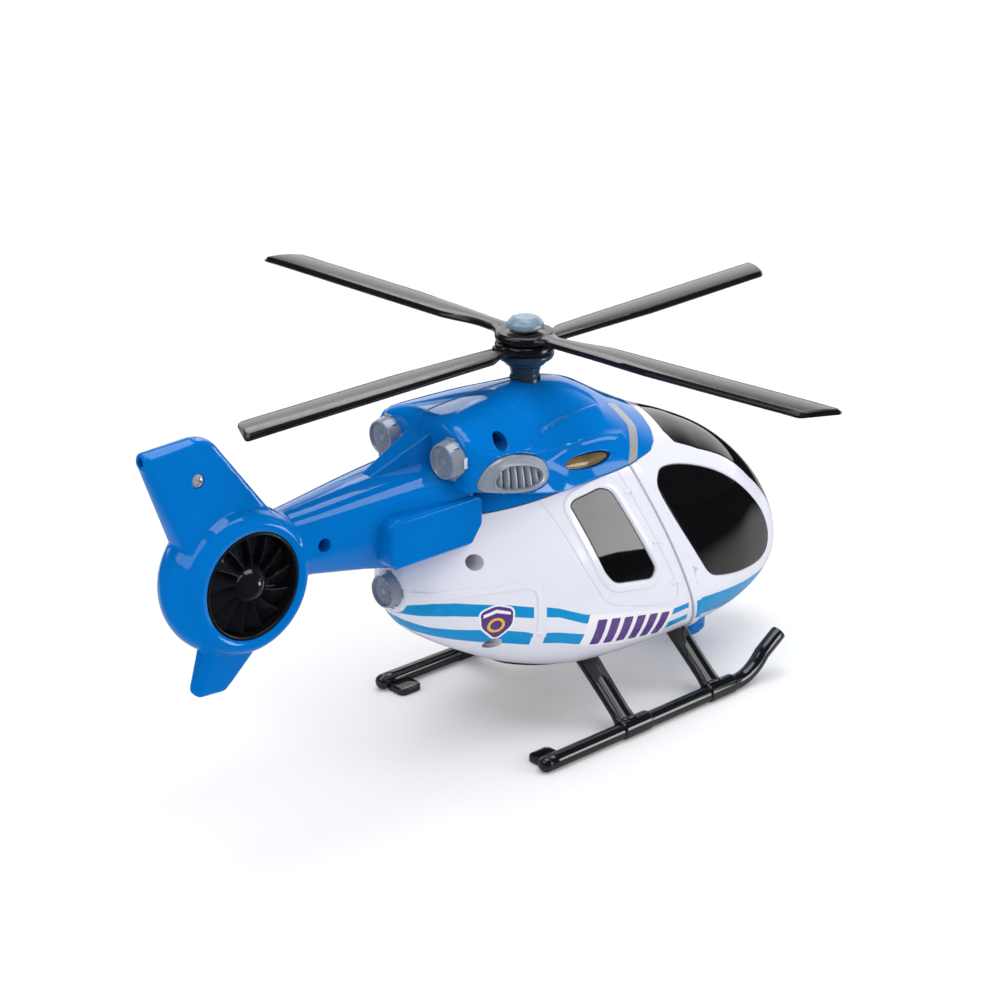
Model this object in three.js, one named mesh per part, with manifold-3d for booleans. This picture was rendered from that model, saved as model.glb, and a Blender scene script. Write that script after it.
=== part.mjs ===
// Toy rescue helicopter: fuselage shells, ducted tail fan, two-pair main rotor and skids.
// Units are millimetres. +X is the nose, +Y is port, +Z is up, and the skids stand on Z = 0.
import * as THREE from 'three';
import { mergeVertices } from 'three/addons/utils/BufferGeometryUtils.js';
import Module from 'manifold-3d';

const wasm = await Module();
wasm.setup();

// ---------------------------------------------------------------- driving dimensions
const HUB_X = 18.2;              // rotor axis ahead of the middle of the overall length
const GAP = 0.3;                 // clearance between neighbouring pieces
const WALL = 2.2;                // moulded shell thickness
const SEAM = 0.15;               // half of the gap on the centre seam
const ROTOR_LONG = 165;          // hub axis to the longer corner of a blade tip
const ROTOR_SHORT = 155.5;       // hub axis to the shorter corner of a blade tip
const BLADE_CHORD = 17;
const LOWER_PAIR_ANGLE = 3.4;    // degrees from the nose
const UPPER_PAIR_ANGLE = 93.4;
const SKID_Y = 55.4;             // centre of a skid tube from the middle
const SKID_R = 3.7;
const FAN = { x: -158.7, z: 109.3, bore: 22.9, half: 13 };
const FAN_SIDES = 32;
const NOZZLE = { x: -66, y: 20, z: 141, r: 9.2 };
const TAIL_NOZZLE = { x: -83, z: 80.5, r: 8.8 };
const SEAM_TOP = { x: 31, z: 119 };      // front cabin seam, upper end
const SEAM_LEAN = 0.458;                 // forward travel of that seam per millimetre down

// ---------------------------------------------------------------- colours
function finish(color, roughness, metalness = 0) {
  return new THREE.MeshStandardMaterial({ color, roughness, metalness });
}
const BLUE = () => finish(0x006cc6, 0.22);
const WHITE = () => finish(0xe8e8f2, 0.25);
const BLACK = () => finish(0x0b0b0d, 0.18);
const SOFT_BLACK = () => finish(0x17181a, 0.45);
const GREY = () => finish(0x8b95a3, 0.35);
const HUB_GREY = () => finish(0x6f8090, 0.35);
const AMBER = () => finish(0xa07828, 0.25);
const STEEL = () => finish(0xc8c8cc, 0.3, 1);
const GREEN = () => finish(0x1d6b3a, 0.5);
const GLASS = () => finish(0x101114, 0.05);

// ---------------------------------------------------------------- solids
function solid(geometry) {
  const bare = geometry.clone();
  for (const name of Object.keys(bare.attributes)) {
    if (name !== 'position') bare.deleteAttribute(name);
  }
  const merged = mergeVertices(bare, 1e-4);
  const index = merged.index.array;
  const kept = [];
  for (let i = 0; i < index.length; i += 3) {
    const [a, b, c] = [index[i], index[i + 1], index[i + 2]];
    if (a !== b && b !== c && c !== a) kept.push(a, b, c);
  }
  return new wasm.Manifold(new wasm.Mesh({
    numProp: 3,
    vertProperties: new Float32Array(merged.attributes.position.array),
    triVerts: new Uint32Array(kept),
  }));
}

function geometryOf(body) {
  const mesh = body.getMesh();
  const geometry = new THREE.BufferGeometry();
  geometry.setAttribute('position', new THREE.BufferAttribute(new Float32Array(mesh.vertProperties), 3));
  geometry.setIndex(new THREE.BufferAttribute(new Uint32Array(mesh.triVerts), 1));
  geometry.computeVertexNormals();
  return geometry;
}

function union(...bodies) {
  return bodies.reduce((a, b) => a.add(b));
}

function box(x0, x1, y0, y1, z0, z1) {
  const g = new THREE.BoxGeometry(x1 - x0, y1 - y0, z1 - z0);
  g.translate((x0 + x1) / 2, (y0 + y1) / 2, (z0 + z1) / 2);
  return solid(g);
}

// Cylinder or cone between two points.
function rod(from, to, r0, r1 = r0, sides = 20) {
  const a = new THREE.Vector3(...from);
  const b = new THREE.Vector3(...to);
  const way = b.clone().sub(a);
  const g = new THREE.CylinderGeometry(r1, r0, way.length(), sides);
  g.rotateY(Math.PI / sides);
  const turn = new THREE.Quaternion().setFromUnitVectors(new THREE.Vector3(0, 1, 0), way.clone().normalize());
  g.applyQuaternion(turn);
  g.translate((a.x + b.x) / 2, (a.y + b.y) / 2, (a.z + b.z) / 2);
  return solid(g);
}

function ball(at, r, sides = 16) {
  const g = new THREE.SphereGeometry(r, sides, Math.round(sides / 2));
  g.translate(...at);
  return solid(g);
}

// Body of revolution: profile is a list of [radius, height] and axis is 'x', 'y' or 'z'.
function turned(profile, axis, at, sides = 32) {
  const g = new THREE.LatheGeometry(profile.map(([r, h]) => new THREE.Vector2(r, h)), sides);
  if (axis === 'x') g.rotateZ(-Math.PI / 2);
  if (axis === 'z') g.rotateX(Math.PI / 2);
  g.translate(...at);
  return outward(g);
}

// Makes the faces point out whichever way the profile was listed.
function outward(geometry) {
  const bare = geometry.index ? geometry.toNonIndexed() : geometry;
  const p = bare.attributes.position.array;
  let volume = 0;
  for (let i = 0; i < p.length; i += 9) {
    volume += p[i] * (p[i + 4] * p[i + 8] - p[i + 5] * p[i + 7])
      - p[i + 1] * (p[i + 3] * p[i + 8] - p[i + 5] * p[i + 6])
      + p[i + 2] * (p[i + 3] * p[i + 7] - p[i + 4] * p[i + 6]);
  }
  if (volume < 0) {
    for (let i = 0; i < p.length; i += 9) {
      for (let k = 0; k < 3; k += 1) {
        const keep = p[i + 3 + k];
        p[i + 3 + k] = p[i + 6 + k];
        p[i + 6 + k] = keep;
      }
    }
  }
  return solid(bare);
}

// Outline in the XZ plane carried across from y0 to y1.
function sidePrism(points, y0, y1) {
  const shape = new THREE.Shape(points.map(([x, z]) => new THREE.Vector2(x, z)));
  const g = new THREE.ExtrudeGeometry(shape, { depth: y1 - y0, bevelEnabled: false, curveSegments: 6 });
  g.rotateX(Math.PI / 2);
  g.translate(0, y1, 0);
  return outward(g);
}

// Outline in the XY plane carried up from z0 to z1.
function planPrism(points, z0, z1) {
  const shape = new THREE.Shape(points.map(([x, y]) => new THREE.Vector2(x, y)));
  const g = new THREE.ExtrudeGeometry(shape, { depth: z1 - z0, bevelEnabled: false });
  g.translate(0, 0, z0);
  return outward(g);
}

// Closed skin through a row of rings that all have the same number of points.
function skin(rings) {
  const n = rings[0].length;
  const position = [];
  const index = [];
  for (const ring of rings) {
    for (const p of ring) position.push(...p);
  }
  for (let i = 0; i + 1 < rings.length; i += 1) {
    for (let k = 0; k < n; k += 1) {
      const a = i * n + k;
      const b = i * n + (k + 1) % n;
      index.push(a, b, a + n, b, b + n, a + n);
    }
  }
  for (const end of [0, rings.length - 1]) {
    const ring = rings[end];
    const middle = [0, 1, 2].map((c) => ring.reduce((sum, p) => sum + p[c], 0) / n);
    const m = position.length / 3;
    position.push(...middle);
    for (let k = 0; k < n; k += 1) {
      const a = end * n + k;
      const b = end * n + (k + 1) % n;
      if (end === 0) index.push(m, b, a);
      else index.push(m, a, b);
    }
  }
  const g = new THREE.BufferGeometry();
  g.setAttribute('position', new THREE.BufferAttribute(new Float32Array(position), 3));
  g.setIndex(index);
  return outward(g);
}

// Rounds the corners of an outline and can grow it outward by a margin.
function rounded(points, radius, steps = 2) {
  const out = [];
  const n = points.length;
  for (let i = 0; i < n; i += 1) {
    const p = new THREE.Vector2(...points[i]);
    const before = new THREE.Vector2(...points[(i + n - 1) % n]).sub(p);
    const after = new THREE.Vector2(...points[(i + 1) % n]).sub(p);
    const cut = Math.min(radius, before.length() * 0.45, after.length() * 0.45);
    const a = p.clone().add(before.setLength(cut));
    const b = p.clone().add(after.setLength(cut));
    const curve = new THREE.QuadraticBezierCurve(a, p, b);
    for (const q of curve.getPoints(steps)) out.push([q.x, q.y]);
  }
  return out;
}

function grown(points, margin) {
  const n = points.length;
  const area = points.reduce((s, p, i) => s + p[0] * points[(i + 1) % n][1] - points[(i + 1) % n][0] * p[1], 0);
  const side = area > 0 ? 1 : -1;
  return points.map((p, i) => {
    const q = points[(i + 1) % n];
    const o = points[(i + n - 1) % n];
    const d0 = new THREE.Vector2(p[0] - o[0], p[1] - o[1]).normalize();
    const d1 = new THREE.Vector2(q[0] - p[0], q[1] - p[1]).normalize();
    const normal = new THREE.Vector2(d0.y + d1.y, -d0.x - d1.x).normalize();
    const stretch = 1 / Math.max(0.5, normal.dot(new THREE.Vector2(d1.y, -d1.x)));
    return [p[0] + side * margin * normal.x * stretch, p[1] + side * margin * normal.y * stretch];
  });
}

function mirrored(body) {
  return body.mirror([0, 1, 0]);
}

// ---------------------------------------------------------------- fuselage form
// Stations along X: half width, bottom, widest height, top and the fullness below and above.
const HULL = [
  { x: -77, w: 11, zb: 69.4, zm: 80, zt: 91, nl: 2, nu: 2 },
  { x: -71, w: 18.6, zb: 60.5, zm: 78, zt: 100, nl: 2.1, nu: 2.2 },
  { x: -60, w: 26.5, zb: 52, zm: 75, zt: 113, nl: 2.2, nu: 2.2 },
  { x: -45, w: 33.5, zb: 43, zm: 71, zt: 130, nl: 2.3, nu: 2.2 },
  { x: -25, w: 40, zb: 33, zm: 66, zt: 150, nl: 2.4, nu: 2.1 },
  { x: 0, w: 44.5, zb: 25.5, zm: 61, zt: 158, nl: 2.5, nu: 2 },
  { x: 20, w: 45.5, zb: 22.5, zm: 59, zt: 155, nl: 2.5, nu: 2 },
  { x: 45, w: 45.5, zb: 21, zm: 58, zt: 142, nl: 2.5, nu: 2 },
  { x: 65, w: 44.5, zb: 20.5, zm: 56, zt: 132, nl: 2.5, nu: 2 },
  { x: 85, w: 42, zb: 20, zm: 54, zt: 124, nl: 2.5, nu: 2.1 },
  { x: 105, w: 38, zb: 20, zm: 52, zt: 114, nl: 2.4, nu: 2.2 },
  { x: 122, w: 32.5, zb: 21.5, zm: 50, zt: 102, nl: 2.3, nu: 2.2 },
  { x: 136, w: 26.8, zb: 25, zm: 49, zt: 88.5, nl: 2.2, nu: 2.2 },
  { x: 146, w: 20.6, zb: 29.5, zm: 48.5, zt: 75.5, nl: 2.1, nu: 2.1 },
  { x: 153, w: 12.8, zb: 36, zm: 48, zt: 62.5, nl: 2, nu: 2 },
  { x: 157, w: 4, zb: 44, zm: 48, zt: 52.5, nl: 2, nu: 2 },
];
const HULL_CUTS = [-77, -71, -60, -45, -28, -8, 14, 36, 58, 78, 96, 112, 126, 137, 146, 152.5, 157];
const LINER_CUTS = [-77, -60, -35, 0, 40, 80, 115, 140, 157];
// The engine cowl is narrower and fuller than the hull behind the mast, and follows it ahead of the mast.
const COWL = [
  { x: -59, w: 30.8, zb: 104, zm: 138, zt: 156, nl: 2.6, nu: 2.7 },
  { x: -45, w: 34, zb: 98, zm: 131, zt: 157.6, nl: 2.5, nu: 2.4 },
  { x: -28, w: 37.5, zb: 88, zm: 116, zt: 158.6, nl: 2.4, nu: 2.2 },
  { x: -10, w: 41, zb: 60, zm: 90, zt: 158.8, nl: 2.4, nu: 2 },
  { x: 8, w: 44.6, zb: 40, zm: 68, zt: 157.6, nl: 2.5, nu: 2 },
  { x: 24, w: 45.6, zb: 22, zm: 59, zt: 153.4, nl: 2.5, nu: 2 },
  { x: 45, w: 45.5, zb: 21, zm: 58, zt: 142, nl: 2.5, nu: 2 },
  { x: 65, w: 44.5, zb: 20.5, zm: 56, zt: 132, nl: 2.5, nu: 2 },
];
const COWL_CUTS = [-59, -49, -36, -22, -6, 10, 26, 40, 52, 65];
const COWL_LINER_CUTS = [-59, -40, -15, 20, 45, 65];

// Smooth value of one station column at x.
function along(stations, key, x) {
  const last = stations.length - 1;
  let i = 0;
  while (i < last - 1 && stations[i + 1].x < x) i += 1;
  const a = stations[i];
  const b = stations[i + 1];
  const before = stations[Math.max(0, i - 1)];
  const after = stations[Math.min(last, i + 2)];
  const span = b.x - a.x;
  const t = (x - a.x) / span;
  const m0 = span * (b[key] - before[key]) / (b.x - before.x);
  const m1 = span * (after[key] - a[key]) / (after.x - a.x);
  const t2 = t * t;
  const t3 = t2 * t;
  return (2 * t3 - 3 * t2 + 1) * a[key] + (t3 - 2 * t2 + t) * m0 + (3 * t2 - 2 * t3) * b[key] + (t3 - t2) * m1;
}

// Fuselage form drawn in by a margin; the margin is negative for a larger form.
function form(stations, cuts, margin, sides) {
  const first = cuts[0];
  const final = cuts[cuts.length - 1];
  const middle = (first + final) / 2;
  const squeeze = ((final - first) / 2 - margin) / ((final - first) / 2);
  const rings = cuts.map((x) => {
    const [w, zb, zm, zt, nl, nu] = ['w', 'zb', 'zm', 'zt', 'nl', 'nu'].map((key) => along(stations, key, x));
    const ring = [];
    for (let k = 0; k < sides; k += 1) {
      const angle = 2 * Math.PI * (k + 0.5) / sides;
      const c = Math.cos(angle);
      const s = Math.sin(angle);
      const power = 2 / (s >= 0 ? nu : nl);
      const high = s >= 0 ? Math.max(0.8, zt - zm - margin) : Math.max(0.8, zm - zb - margin);
      ring.push([
        middle + (x - middle) * squeeze,
        Math.max(0.8, w - margin) * Math.sign(c) * Math.abs(c) ** power,
        zm + high * Math.sign(s) * Math.abs(s) ** power,
      ]);
    }
    return ring;
  });
  return skin(rings);
}
const hull = (margin) => form(HULL, HULL_CUTS, margin, 28);
const hullLiner = (margin) => form(HULL, LINER_CUTS, margin, 16);
const cowl = (margin) => form(COWL, COWL_CUTS, margin, 28);
const cowlLiner = (margin) => form(COWL, COWL_LINER_CUTS, margin, 16);

// ---------------------------------------------------------------- outlines on the sides, as [x, z]
const seamX = (z, shift = 0) => SEAM_TOP.x + (SEAM_TOP.z - z) * SEAM_LEAN + shift;
const REAR_BODY = [
  [-95, 100.6], [-46.5, 100.6], [-46.5, 113.6], [-30, 115.6], [-12, 117.6], [10, 118.8], [seamX(118.8, -SEAM), 118.8],
  [seamX(5, -SEAM), 5], [-95, 5],
];
const NOSE_BODY = [
  [seamX(5, SEAM), 5], [seamX(118.8, SEAM), 118.8], [50, 120], [55.5, 122.4], [58, 126], [60.6, 150], [170, 150], [170, 5],
];
const COWL_SIDE = [
  [-75, 128.5], [-57, 127.8], [-11, 118.4], [10, 119.2], [31, 119.2], [50, 120.4], [54.5, 122.4], [57.2, 126],
  [60, 150], [60, 175], [-75, 175],
];
const MID_WINDOW = rounded([[-8, 111], [-5.5, 113], [10, 115], [16.5, 112], [38.5, 71], [36, 66.5], [13, 70.5], [7.5, 77]], 3.5);
const SIDE_WINDOW = rounded([
  [46, 108], [49, 112], [68, 109.5], [86, 103], [102, 94], [117, 82], [128, 70], [134.5, 58], [134, 49.5],
  [124, 46.5], [104, 48.8], [85, 53], [75, 59], [62, 78],
], 3.5);
const WINDSHIELD = rounded([
  [65.5, 21], [70, 25.2], [84, 25.8], [104, 25.4], [122, 24.6], [138, 22], [148, 18], [170, 15],
  [170, -15], [148, -18], [138, -22], [122, -24.6], [104, -25.4], [84, -25.8], [70, -25.2], [65.5, -21],
], 4);
const STRIPE = [[36.5, 141.4], [39, 135], [40, 132], [38, 129], [30.8, 120], [37.8, 120.2], [46.4, 130], [43.4, 139.6]];
const LENS = Array.from({ length: 18 }, (_, k) => [
  6.5 + 14.6 * Math.cos(k * Math.PI / 9),
  128.3 + 3.7 * Math.sin(k * Math.PI / 9),
]);
const VENT = rounded([[-59.5, 133.2], [-48, 140.2], [-27, 139.8], [-19.5, 133], [-22, 126], [-32, 123.2], [-46, 124.6]], 5, 2);
const VENT_MOUTH = rounded([[-50.5, 134.5], [-46, 137], [-26, 136.4], [-22.4, 131], [-26, 126.6], [-46, 126.4], [-50, 130]], 4, 2);

// A skin of the given form between two margins, inside a prism.
function patch(shape, outer, inner, prism) {
  return shape(outer).intersect(prism).subtract(shape(inner));
}
function starboard(points, inner = 6, outer = 70) {
  return sidePrism(points, -outer, -inner);
}

// ---------------------------------------------------------------- fuselage shells
const hullShell = hull(0).subtract(hullLiner(WALL + 0.6));
const screwSpots = [
  { name: 'body_screw_upper', x: -54, z: 94, face: -26, floor: -14 },
  { name: 'body_screw_lower', x: -45, z: 54, face: -30, floor: -15 },
];
function screwBoss(spot) {
  return rod([spot.x, -2, spot.z], [spot.x, -60, spot.z], 5.2, 5.2, 14);
}
function screwBore(spot) {
  return rod([spot.x, spot.floor, spot.z], [spot.x, -70, spot.z], 3.5, 3.5, 16)
    .add(rod([spot.x, 0, spot.z], [spot.x, -60, spot.z], 1.6, 1.6, 8));
}
function screwPost(spot, reach) {
  return rod([spot.x, 0.8, spot.z], [spot.x, reach, spot.z], 4.2, 4.2, 12)
    .subtract(rod([spot.x, 0, spot.z], [spot.x, 11, spot.z], 1.6, 1.6, 8));
}
function screwBody(spot, head = 2.6, length = 20) {
  const y = spot.floor - GAP;
  const cross = box(spot.x - 1.5, spot.x + 1.5, y - 2.4, y - 1.3, spot.z - 0.35, spot.z + 0.35);
  return rod([spot.x, y, spot.z], [spot.x, y - 2, spot.z], head, head * 0.8, 12)
    .add(rod([spot.x, y - 0.5, spot.z], [spot.x, Math.min(9, y + length), spot.z], 1.3, 1.3, 8))
    .subtract(cross);
}

const rearSolid = sidePrism(REAR_BODY, -70, 70);
const noseSolid = sidePrism(NOSE_BODY, -70, 70);
const bellyDoor = planPrism(rounded([[-26, -19], [30, -19], [30, 19], [-26, 19]], 5), 0, 48);
const bellyDoorHole = planPrism(rounded([[-26.3, -19.3], [30.3, -19.3], [30.3, 19.3], [-26.3, 19.3]], 5.2), 0, 48);
const tailNozzleBore = rod([-100, 0, TAIL_NOZZLE.z], [-60, 0, TAIL_NOZZLE.z], 9.1, 9.1, 24);
const frameRing = starboard(grown(MID_WINDOW, 3)).subtract(starboard(grown(MID_WINDOW, 0.8)));

let rearBody = hullShell.intersect(rearSolid).subtract(tailNozzleBore).subtract(bellyDoorHole);
rearBody = rearBody.subtract(starboard(MID_WINDOW)).subtract(mirrored(starboard(MID_WINDOW)));
const windowFrame = hull(-0.7).subtract(hull(0.8)).intersect(frameRing);
rearBody = union(rearBody, windowFrame, mirrored(windowFrame));
let rearRight = rearBody.subtract(box(-100, 200, -SEAM, 90, 0, 200));
let rearLeft = rearBody.subtract(box(-100, 200, -90, SEAM, 0, 200));
for (const spot of screwSpots) {
  rearRight = rearRight.add(screwBoss(spot).intersect(hull(0.4))).subtract(screwBore(spot));
  rearLeft = rearLeft.add(screwPost(spot, 60).intersect(hull(0.8)));
}

const windshieldRegion = planPrism(WINDSHIELD, 56, 150);
const windshieldHole = planPrism(grown(WINDSHIELD, GAP), 56 - GAP, 150);
const noseShell = hullShell.intersect(noseSolid)
  .subtract(windshieldHole)
  .subtract(starboard(grown(SIDE_WINDOW, GAP)))
  .subtract(mirrored(starboard(grown(SIDE_WINDOW, GAP))));
const windshield = patch(hull, 0.2, 1.8, windshieldRegion).intersect(box(62, 170, -60, 60, 56, 150));
const sideWindowRight = patch(hull, 0.2, 1.8, starboard(SIDE_WINDOW, 10));
const midWindowRight = patch(hull, 0.5, 1.9, starboard(grown(MID_WINDOW, -GAP), 10));
const bellyPlate = patch(hull, -0.9, 1, bellyDoor).intersect(box(-40, 40, -25, 25, 0, 60));

// Boom stations: top, shoulder height, half width, side height and bottom.
const BOOM = [
  { x: -142, zt: 131, zs: 124, w: 11, zk: 114, zb: 103 },
  { x: -125, zt: 132.5, zs: 125.5, w: 13.5, zk: 114, zb: 102 },
  { x: -100, zt: 135, zs: 127.5, w: 17, zk: 114, zb: 97.5 },
  { x: -84, zt: 136.4, zs: 128.6, w: 19, zk: 114, zb: 94 },
  { x: -62, zt: 138, zs: 129.4, w: 21.5, zk: 114, zb: 98 },
  { x: -50, zt: 138.6, zs: 129.6, w: 22.5, zk: 114, zb: 102 },
];
function boomForm(margin) {
  return skin(BOOM.map(({ x, zt, zs, w, zk, zb }) => {
    const half = [
      [0, zt - margin], [w * 0.45, zt - 1.2 - margin], [w * 0.8, zs + 1.6 - margin * 0.7],
      [w - margin, zs - 1.5], [w + 0.6 - margin, zk], [w * 0.82 - margin * 0.8, zb + 6 + margin * 0.4],
      [w * 0.5, zb + 1.2 + margin], [0, zb + margin],
    ];
    const other = half.slice(1, -1).reverse().map(([y, z]) => [-y, z]);
    return [...half, ...other].map(([y, z]) => [x, y, z]);
  }));
}

// ---------------------------------------------------------------- engine cowl
const cowlSolid = sidePrism(COWL_SIDE, -70, 70);
let cowlBody = cowl(0).subtract(cowlLiner(WALL + 0.6)).intersect(cowlSolid);
for (const side of [-1, 1]) {
  cowlBody = cowlBody.subtract(rod([-80, side * NOZZLE.y, NOZZLE.z], [-50, side * NOZZLE.y, NOZZLE.z], 9.6, 9.6, 28));
}
cowlBody = cowlBody
  .subtract(rod([0, 0, 140], [0, 0, 175], 5.2, 5.2, 20))
  .subtract(box(-66, -50, -10, 10, 120, 150))
  .subtract(starboard(LENS, 10).subtract(cowl(3.4)))
  .subtract(mirrored(starboard(LENS, 10).subtract(cowl(3.4))))
  .subtract(starboard(grown(VENT, GAP), 24))
  .subtract(mirrored(starboard(grown(VENT, GAP), 24)))
  .subtract(boomForm(-GAP))
  .subtract(starboard(grown(STRIPE, 0.25), 6).subtract(cowl(1.1)))
  .subtract(mirrored(starboard(grown(STRIPE, 0.25), 6).subtract(cowl(1.1))));
const cowlSpot = { name: 'cowl_screw', x: -41, z: 147, face: -29, floor: -14 };
const cowlRight = cowlBody.subtract(box(-100, 200, -SEAM, 90, 0, 200))
  .add(screwBoss(cowlSpot).intersect(cowl(0.4)))
  .subtract(screwBore(cowlSpot));
const cowlLeft = cowlBody.subtract(box(-100, 200, -90, SEAM, 0, 200))
  .add(screwPost(cowlSpot, 60).intersect(cowl(0.8)));
const stripeRight = patch(cowl, -0.3, 0.8, starboard(STRIPE, 6));
const lensRight = patch(cowl, 1.1, 3, starboard(grown(LENS, -GAP), 10));

// Louvred insert: a shallow recess with five slots through its floor.
function ventBody() {
  let body = patch(cowl, -1, 2.6, starboard(VENT, 26)).subtract(starboard(VENT_MOUTH, 10).subtract(cowl(0.5)));
  const reach = starboard(grown(VENT_MOUTH, -1.2), 20);
  for (let k = 0; k < 5; k += 1) {
    const x = -46.2 + k * 4.9;
    body = body.subtract(box(x - 1.5, x + 1.5, -60, -20, 122, 141).intersect(reach));
  }
  return body;
}

// ---------------------------------------------------------------- tail: boom, shroud and fins
function slab(x0, x1, y0, y1, z0, z1, chamfer) {
  const points = [
    [x0 + chamfer, z0], [x1 - chamfer, z0], [x1, z0 + chamfer], [x1, z1 - chamfer],
    [x1 - chamfer, z1], [x0 + chamfer, z1], [x0, z1 - chamfer], [x0, z0 + chamfer],
  ];
  const inner = points.map(([x, z]) => [x, y1, z]);
  const mid = points.map(([x, z]) => [x, y0 + 1.6, z]);
  const face = grown(points, -1.6).map(([x, z]) => [x, y0, z]);
  return skin([inner, mid, face]);
}
const shroudProfile = [
  [FAN.bore, -11.6], [24.2, -13], [26.4, -13.2], [28.8, -11], [30.8, -6.5], [31.6, 0],
  [30.8, 6.5], [28.8, 11], [26.4, 13.2], [24.2, 13], [FAN.bore, 11.6], [FAN.bore, -11.6],
];
function shroudForm() {
  const g = new THREE.LatheGeometry(shroudProfile.map(([r, y]) => new THREE.Vector2(r, y)), FAN_SIDES);
  const p = g.attributes.position;
  for (let i = 0; i < p.count; i += 1) {
    const x = p.getX(i);
    const z = p.getZ(i);
    const r = Math.hypot(x, z);
    const back = Math.max(0, -x / r * 0.9 - z / r * -0.35) * Math.max(0, (r - 24) / 7.6);
    p.setX(i, x * (1 + 0.1 * back));
    p.setZ(i, z * (1 + 0.1 * back));
  }
  g.translate(FAN.x, 0, FAN.z);
  return outward(g);
}
const FIN = [
  [-200.4, 168.4], [-199.8, 171.2], [-177, 173.4], [-172.6, 173], [-169.8, 170.6], [-147.6, 141.6], [-139, 131],
  [-160, 131], [-185.8, 131],
];
const LOWER_FIN = [[-174, 90], [-176.2, 82.6], [-182, 66], [-180.8, 63.4], [-168, 62.4], [-163.6, 66.4], [-153.6, 76.4], [-151, 90]];
function taperedFin(points, halfAt, margin) {
  const rings = [-1, -0.86, 0.86, 1].map((side) => {
    const outline = Math.abs(side) === 1 ? grown(points, -1.3) : points;
    return outline.map(([x, z]) => [x, side * (halfAt(z) - margin), z]);
  });
  return skin(rings);
}
const finForm = taperedFin(FIN, (z) => 7.2 - (z - 131) * 0.072, 0);
const lowerFinForm = taperedFin(LOWER_FIN, (z) => 3.2 + (z - 62) * 0.1, 0);
const finRod = rod([-200.6, 0, 169.3], [-176, 0, 170.2], 3.9, 3.9, 12).add(ball([-176, 0, 170.2], 3.9, 12));

const duct = rod([FAN.x, -40, FAN.z], [FAN.x, 40, FAN.z], FAN.bore, FAN.bore, FAN_SIDES);
const spine = skin([
  [[-91, -4, 131], [-91, 4, 131], [-91, 3.4, 135.4], [-91, -3.4, 135.4]],
  [[-58.6, -9.6, 131], [-58.6, 9.6, 131], [-58.6, 6.6, 149.6], [-58.6, -6.6, 149.6]],
]);
const sideBox = slab(-97.5, -46.6, -24.8, -10, 101.4, 123.2, 3.2);
const flank = patch(hull, 0, 2.6, starboard([[-56, 113.8], [-46.2, 114], [-30, 116], [-13, 118], [-56, 127]]));
let tail = boomForm(0).subtract(duct);
tail = union(tail, shroudForm(), finForm.subtract(duct), lowerFinForm.subtract(duct));
tail = union(tail, finRod, spine, sideBox, mirrored(sideBox));
const boomHollow = boomForm(2.6).intersect(box(-128, -40, -40, 40, 90, 150))
  .add(box(-60, -40, -19, 19, 104, 128));
tail = tail.subtract(boomHollow);
tail = tail.subtract(duct.subtract(rod([FAN.x, -11.6, FAN.z], [FAN.x, 11.6, FAN.z], 30, 30, FAN_SIDES)));
tail = tail.subtract(rod([-210, 0, 169.3], [-196, 0, 169.3], 1.9, 1.9, 10));
for (const side of [-1, 1]) {
  tail = tail.subtract(rod([-80, side * NOZZLE.y, NOZZLE.z], [-40, side * NOZZLE.y, NOZZLE.z], 9.6, 9.6, 24));
}
tail = union(tail, flank, mirrored(flank)).subtract(hull(-GAP).intersect(sidePrism(grown(REAR_BODY, GAP), -70, 70)));
const boomSpot = { name: 'boom_screw', x: -124, z: 118, face: -13, floor: -6.2 };
const finSpot = { name: 'fin_screw', x: -178, z: 157.4, face: -5, floor: -2.4 };
const boomPosts = rod([boomSpot.x, -14, boomSpot.z], [boomSpot.x, 12, boomSpot.z], 4.6, 4.6, 16);
tail = tail.add(boomPosts.intersect(boomForm(0.5)));
function tailBore(spot) {
  return rod([spot.x, spot.floor, spot.z], [spot.x, -30, spot.z], 3, 3, 16)
    .add(rod([spot.x, 2.6, spot.z], [spot.x, -30, spot.z], 1.5, 1.5, 8));
}
tail = tail.subtract(tailBore(boomSpot)).subtract(tailBore(finSpot));
const tailRight = tail.subtract(box(-230, 20, -SEAM, 90, 0, 220));
const tailLeft = tail.subtract(box(-230, 20, -90, SEAM, 0, 220));

// ---------------------------------------------------------------- tail fan
function fanDuct() {
  const profile = [
    [22.6, -11.9], [22.6, 11.9], [21.7, 12.3], [21.3, 11.9], [21.3, -11.9], [21.7, -12.3], [22.6, -11.9],
  ];
  let body = turned(profile, 'y', [FAN.x, 0, FAN.z], FAN_SIDES);
  body = body.add(rod([FAN.x, 6, FAN.z], [FAN.x, 11, FAN.z], 5, 5, 20));
  for (let k = 0; k < 6; k += 1) {
    const angle = (k * 60 + 20) * Math.PI / 180;
    const spoke = new THREE.BoxGeometry(17.4, 4, 2.2);
    spoke.translate(13.2, 8.5, 0);
    spoke.rotateY(-angle);
    spoke.translate(FAN.x, 0, FAN.z);
    body = body.add(solid(spoke));
  }
  return body.subtract(rod([FAN.x, 0, FAN.z], [FAN.x, 10, FAN.z], 1.8, 1.8, 12));
}
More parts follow.
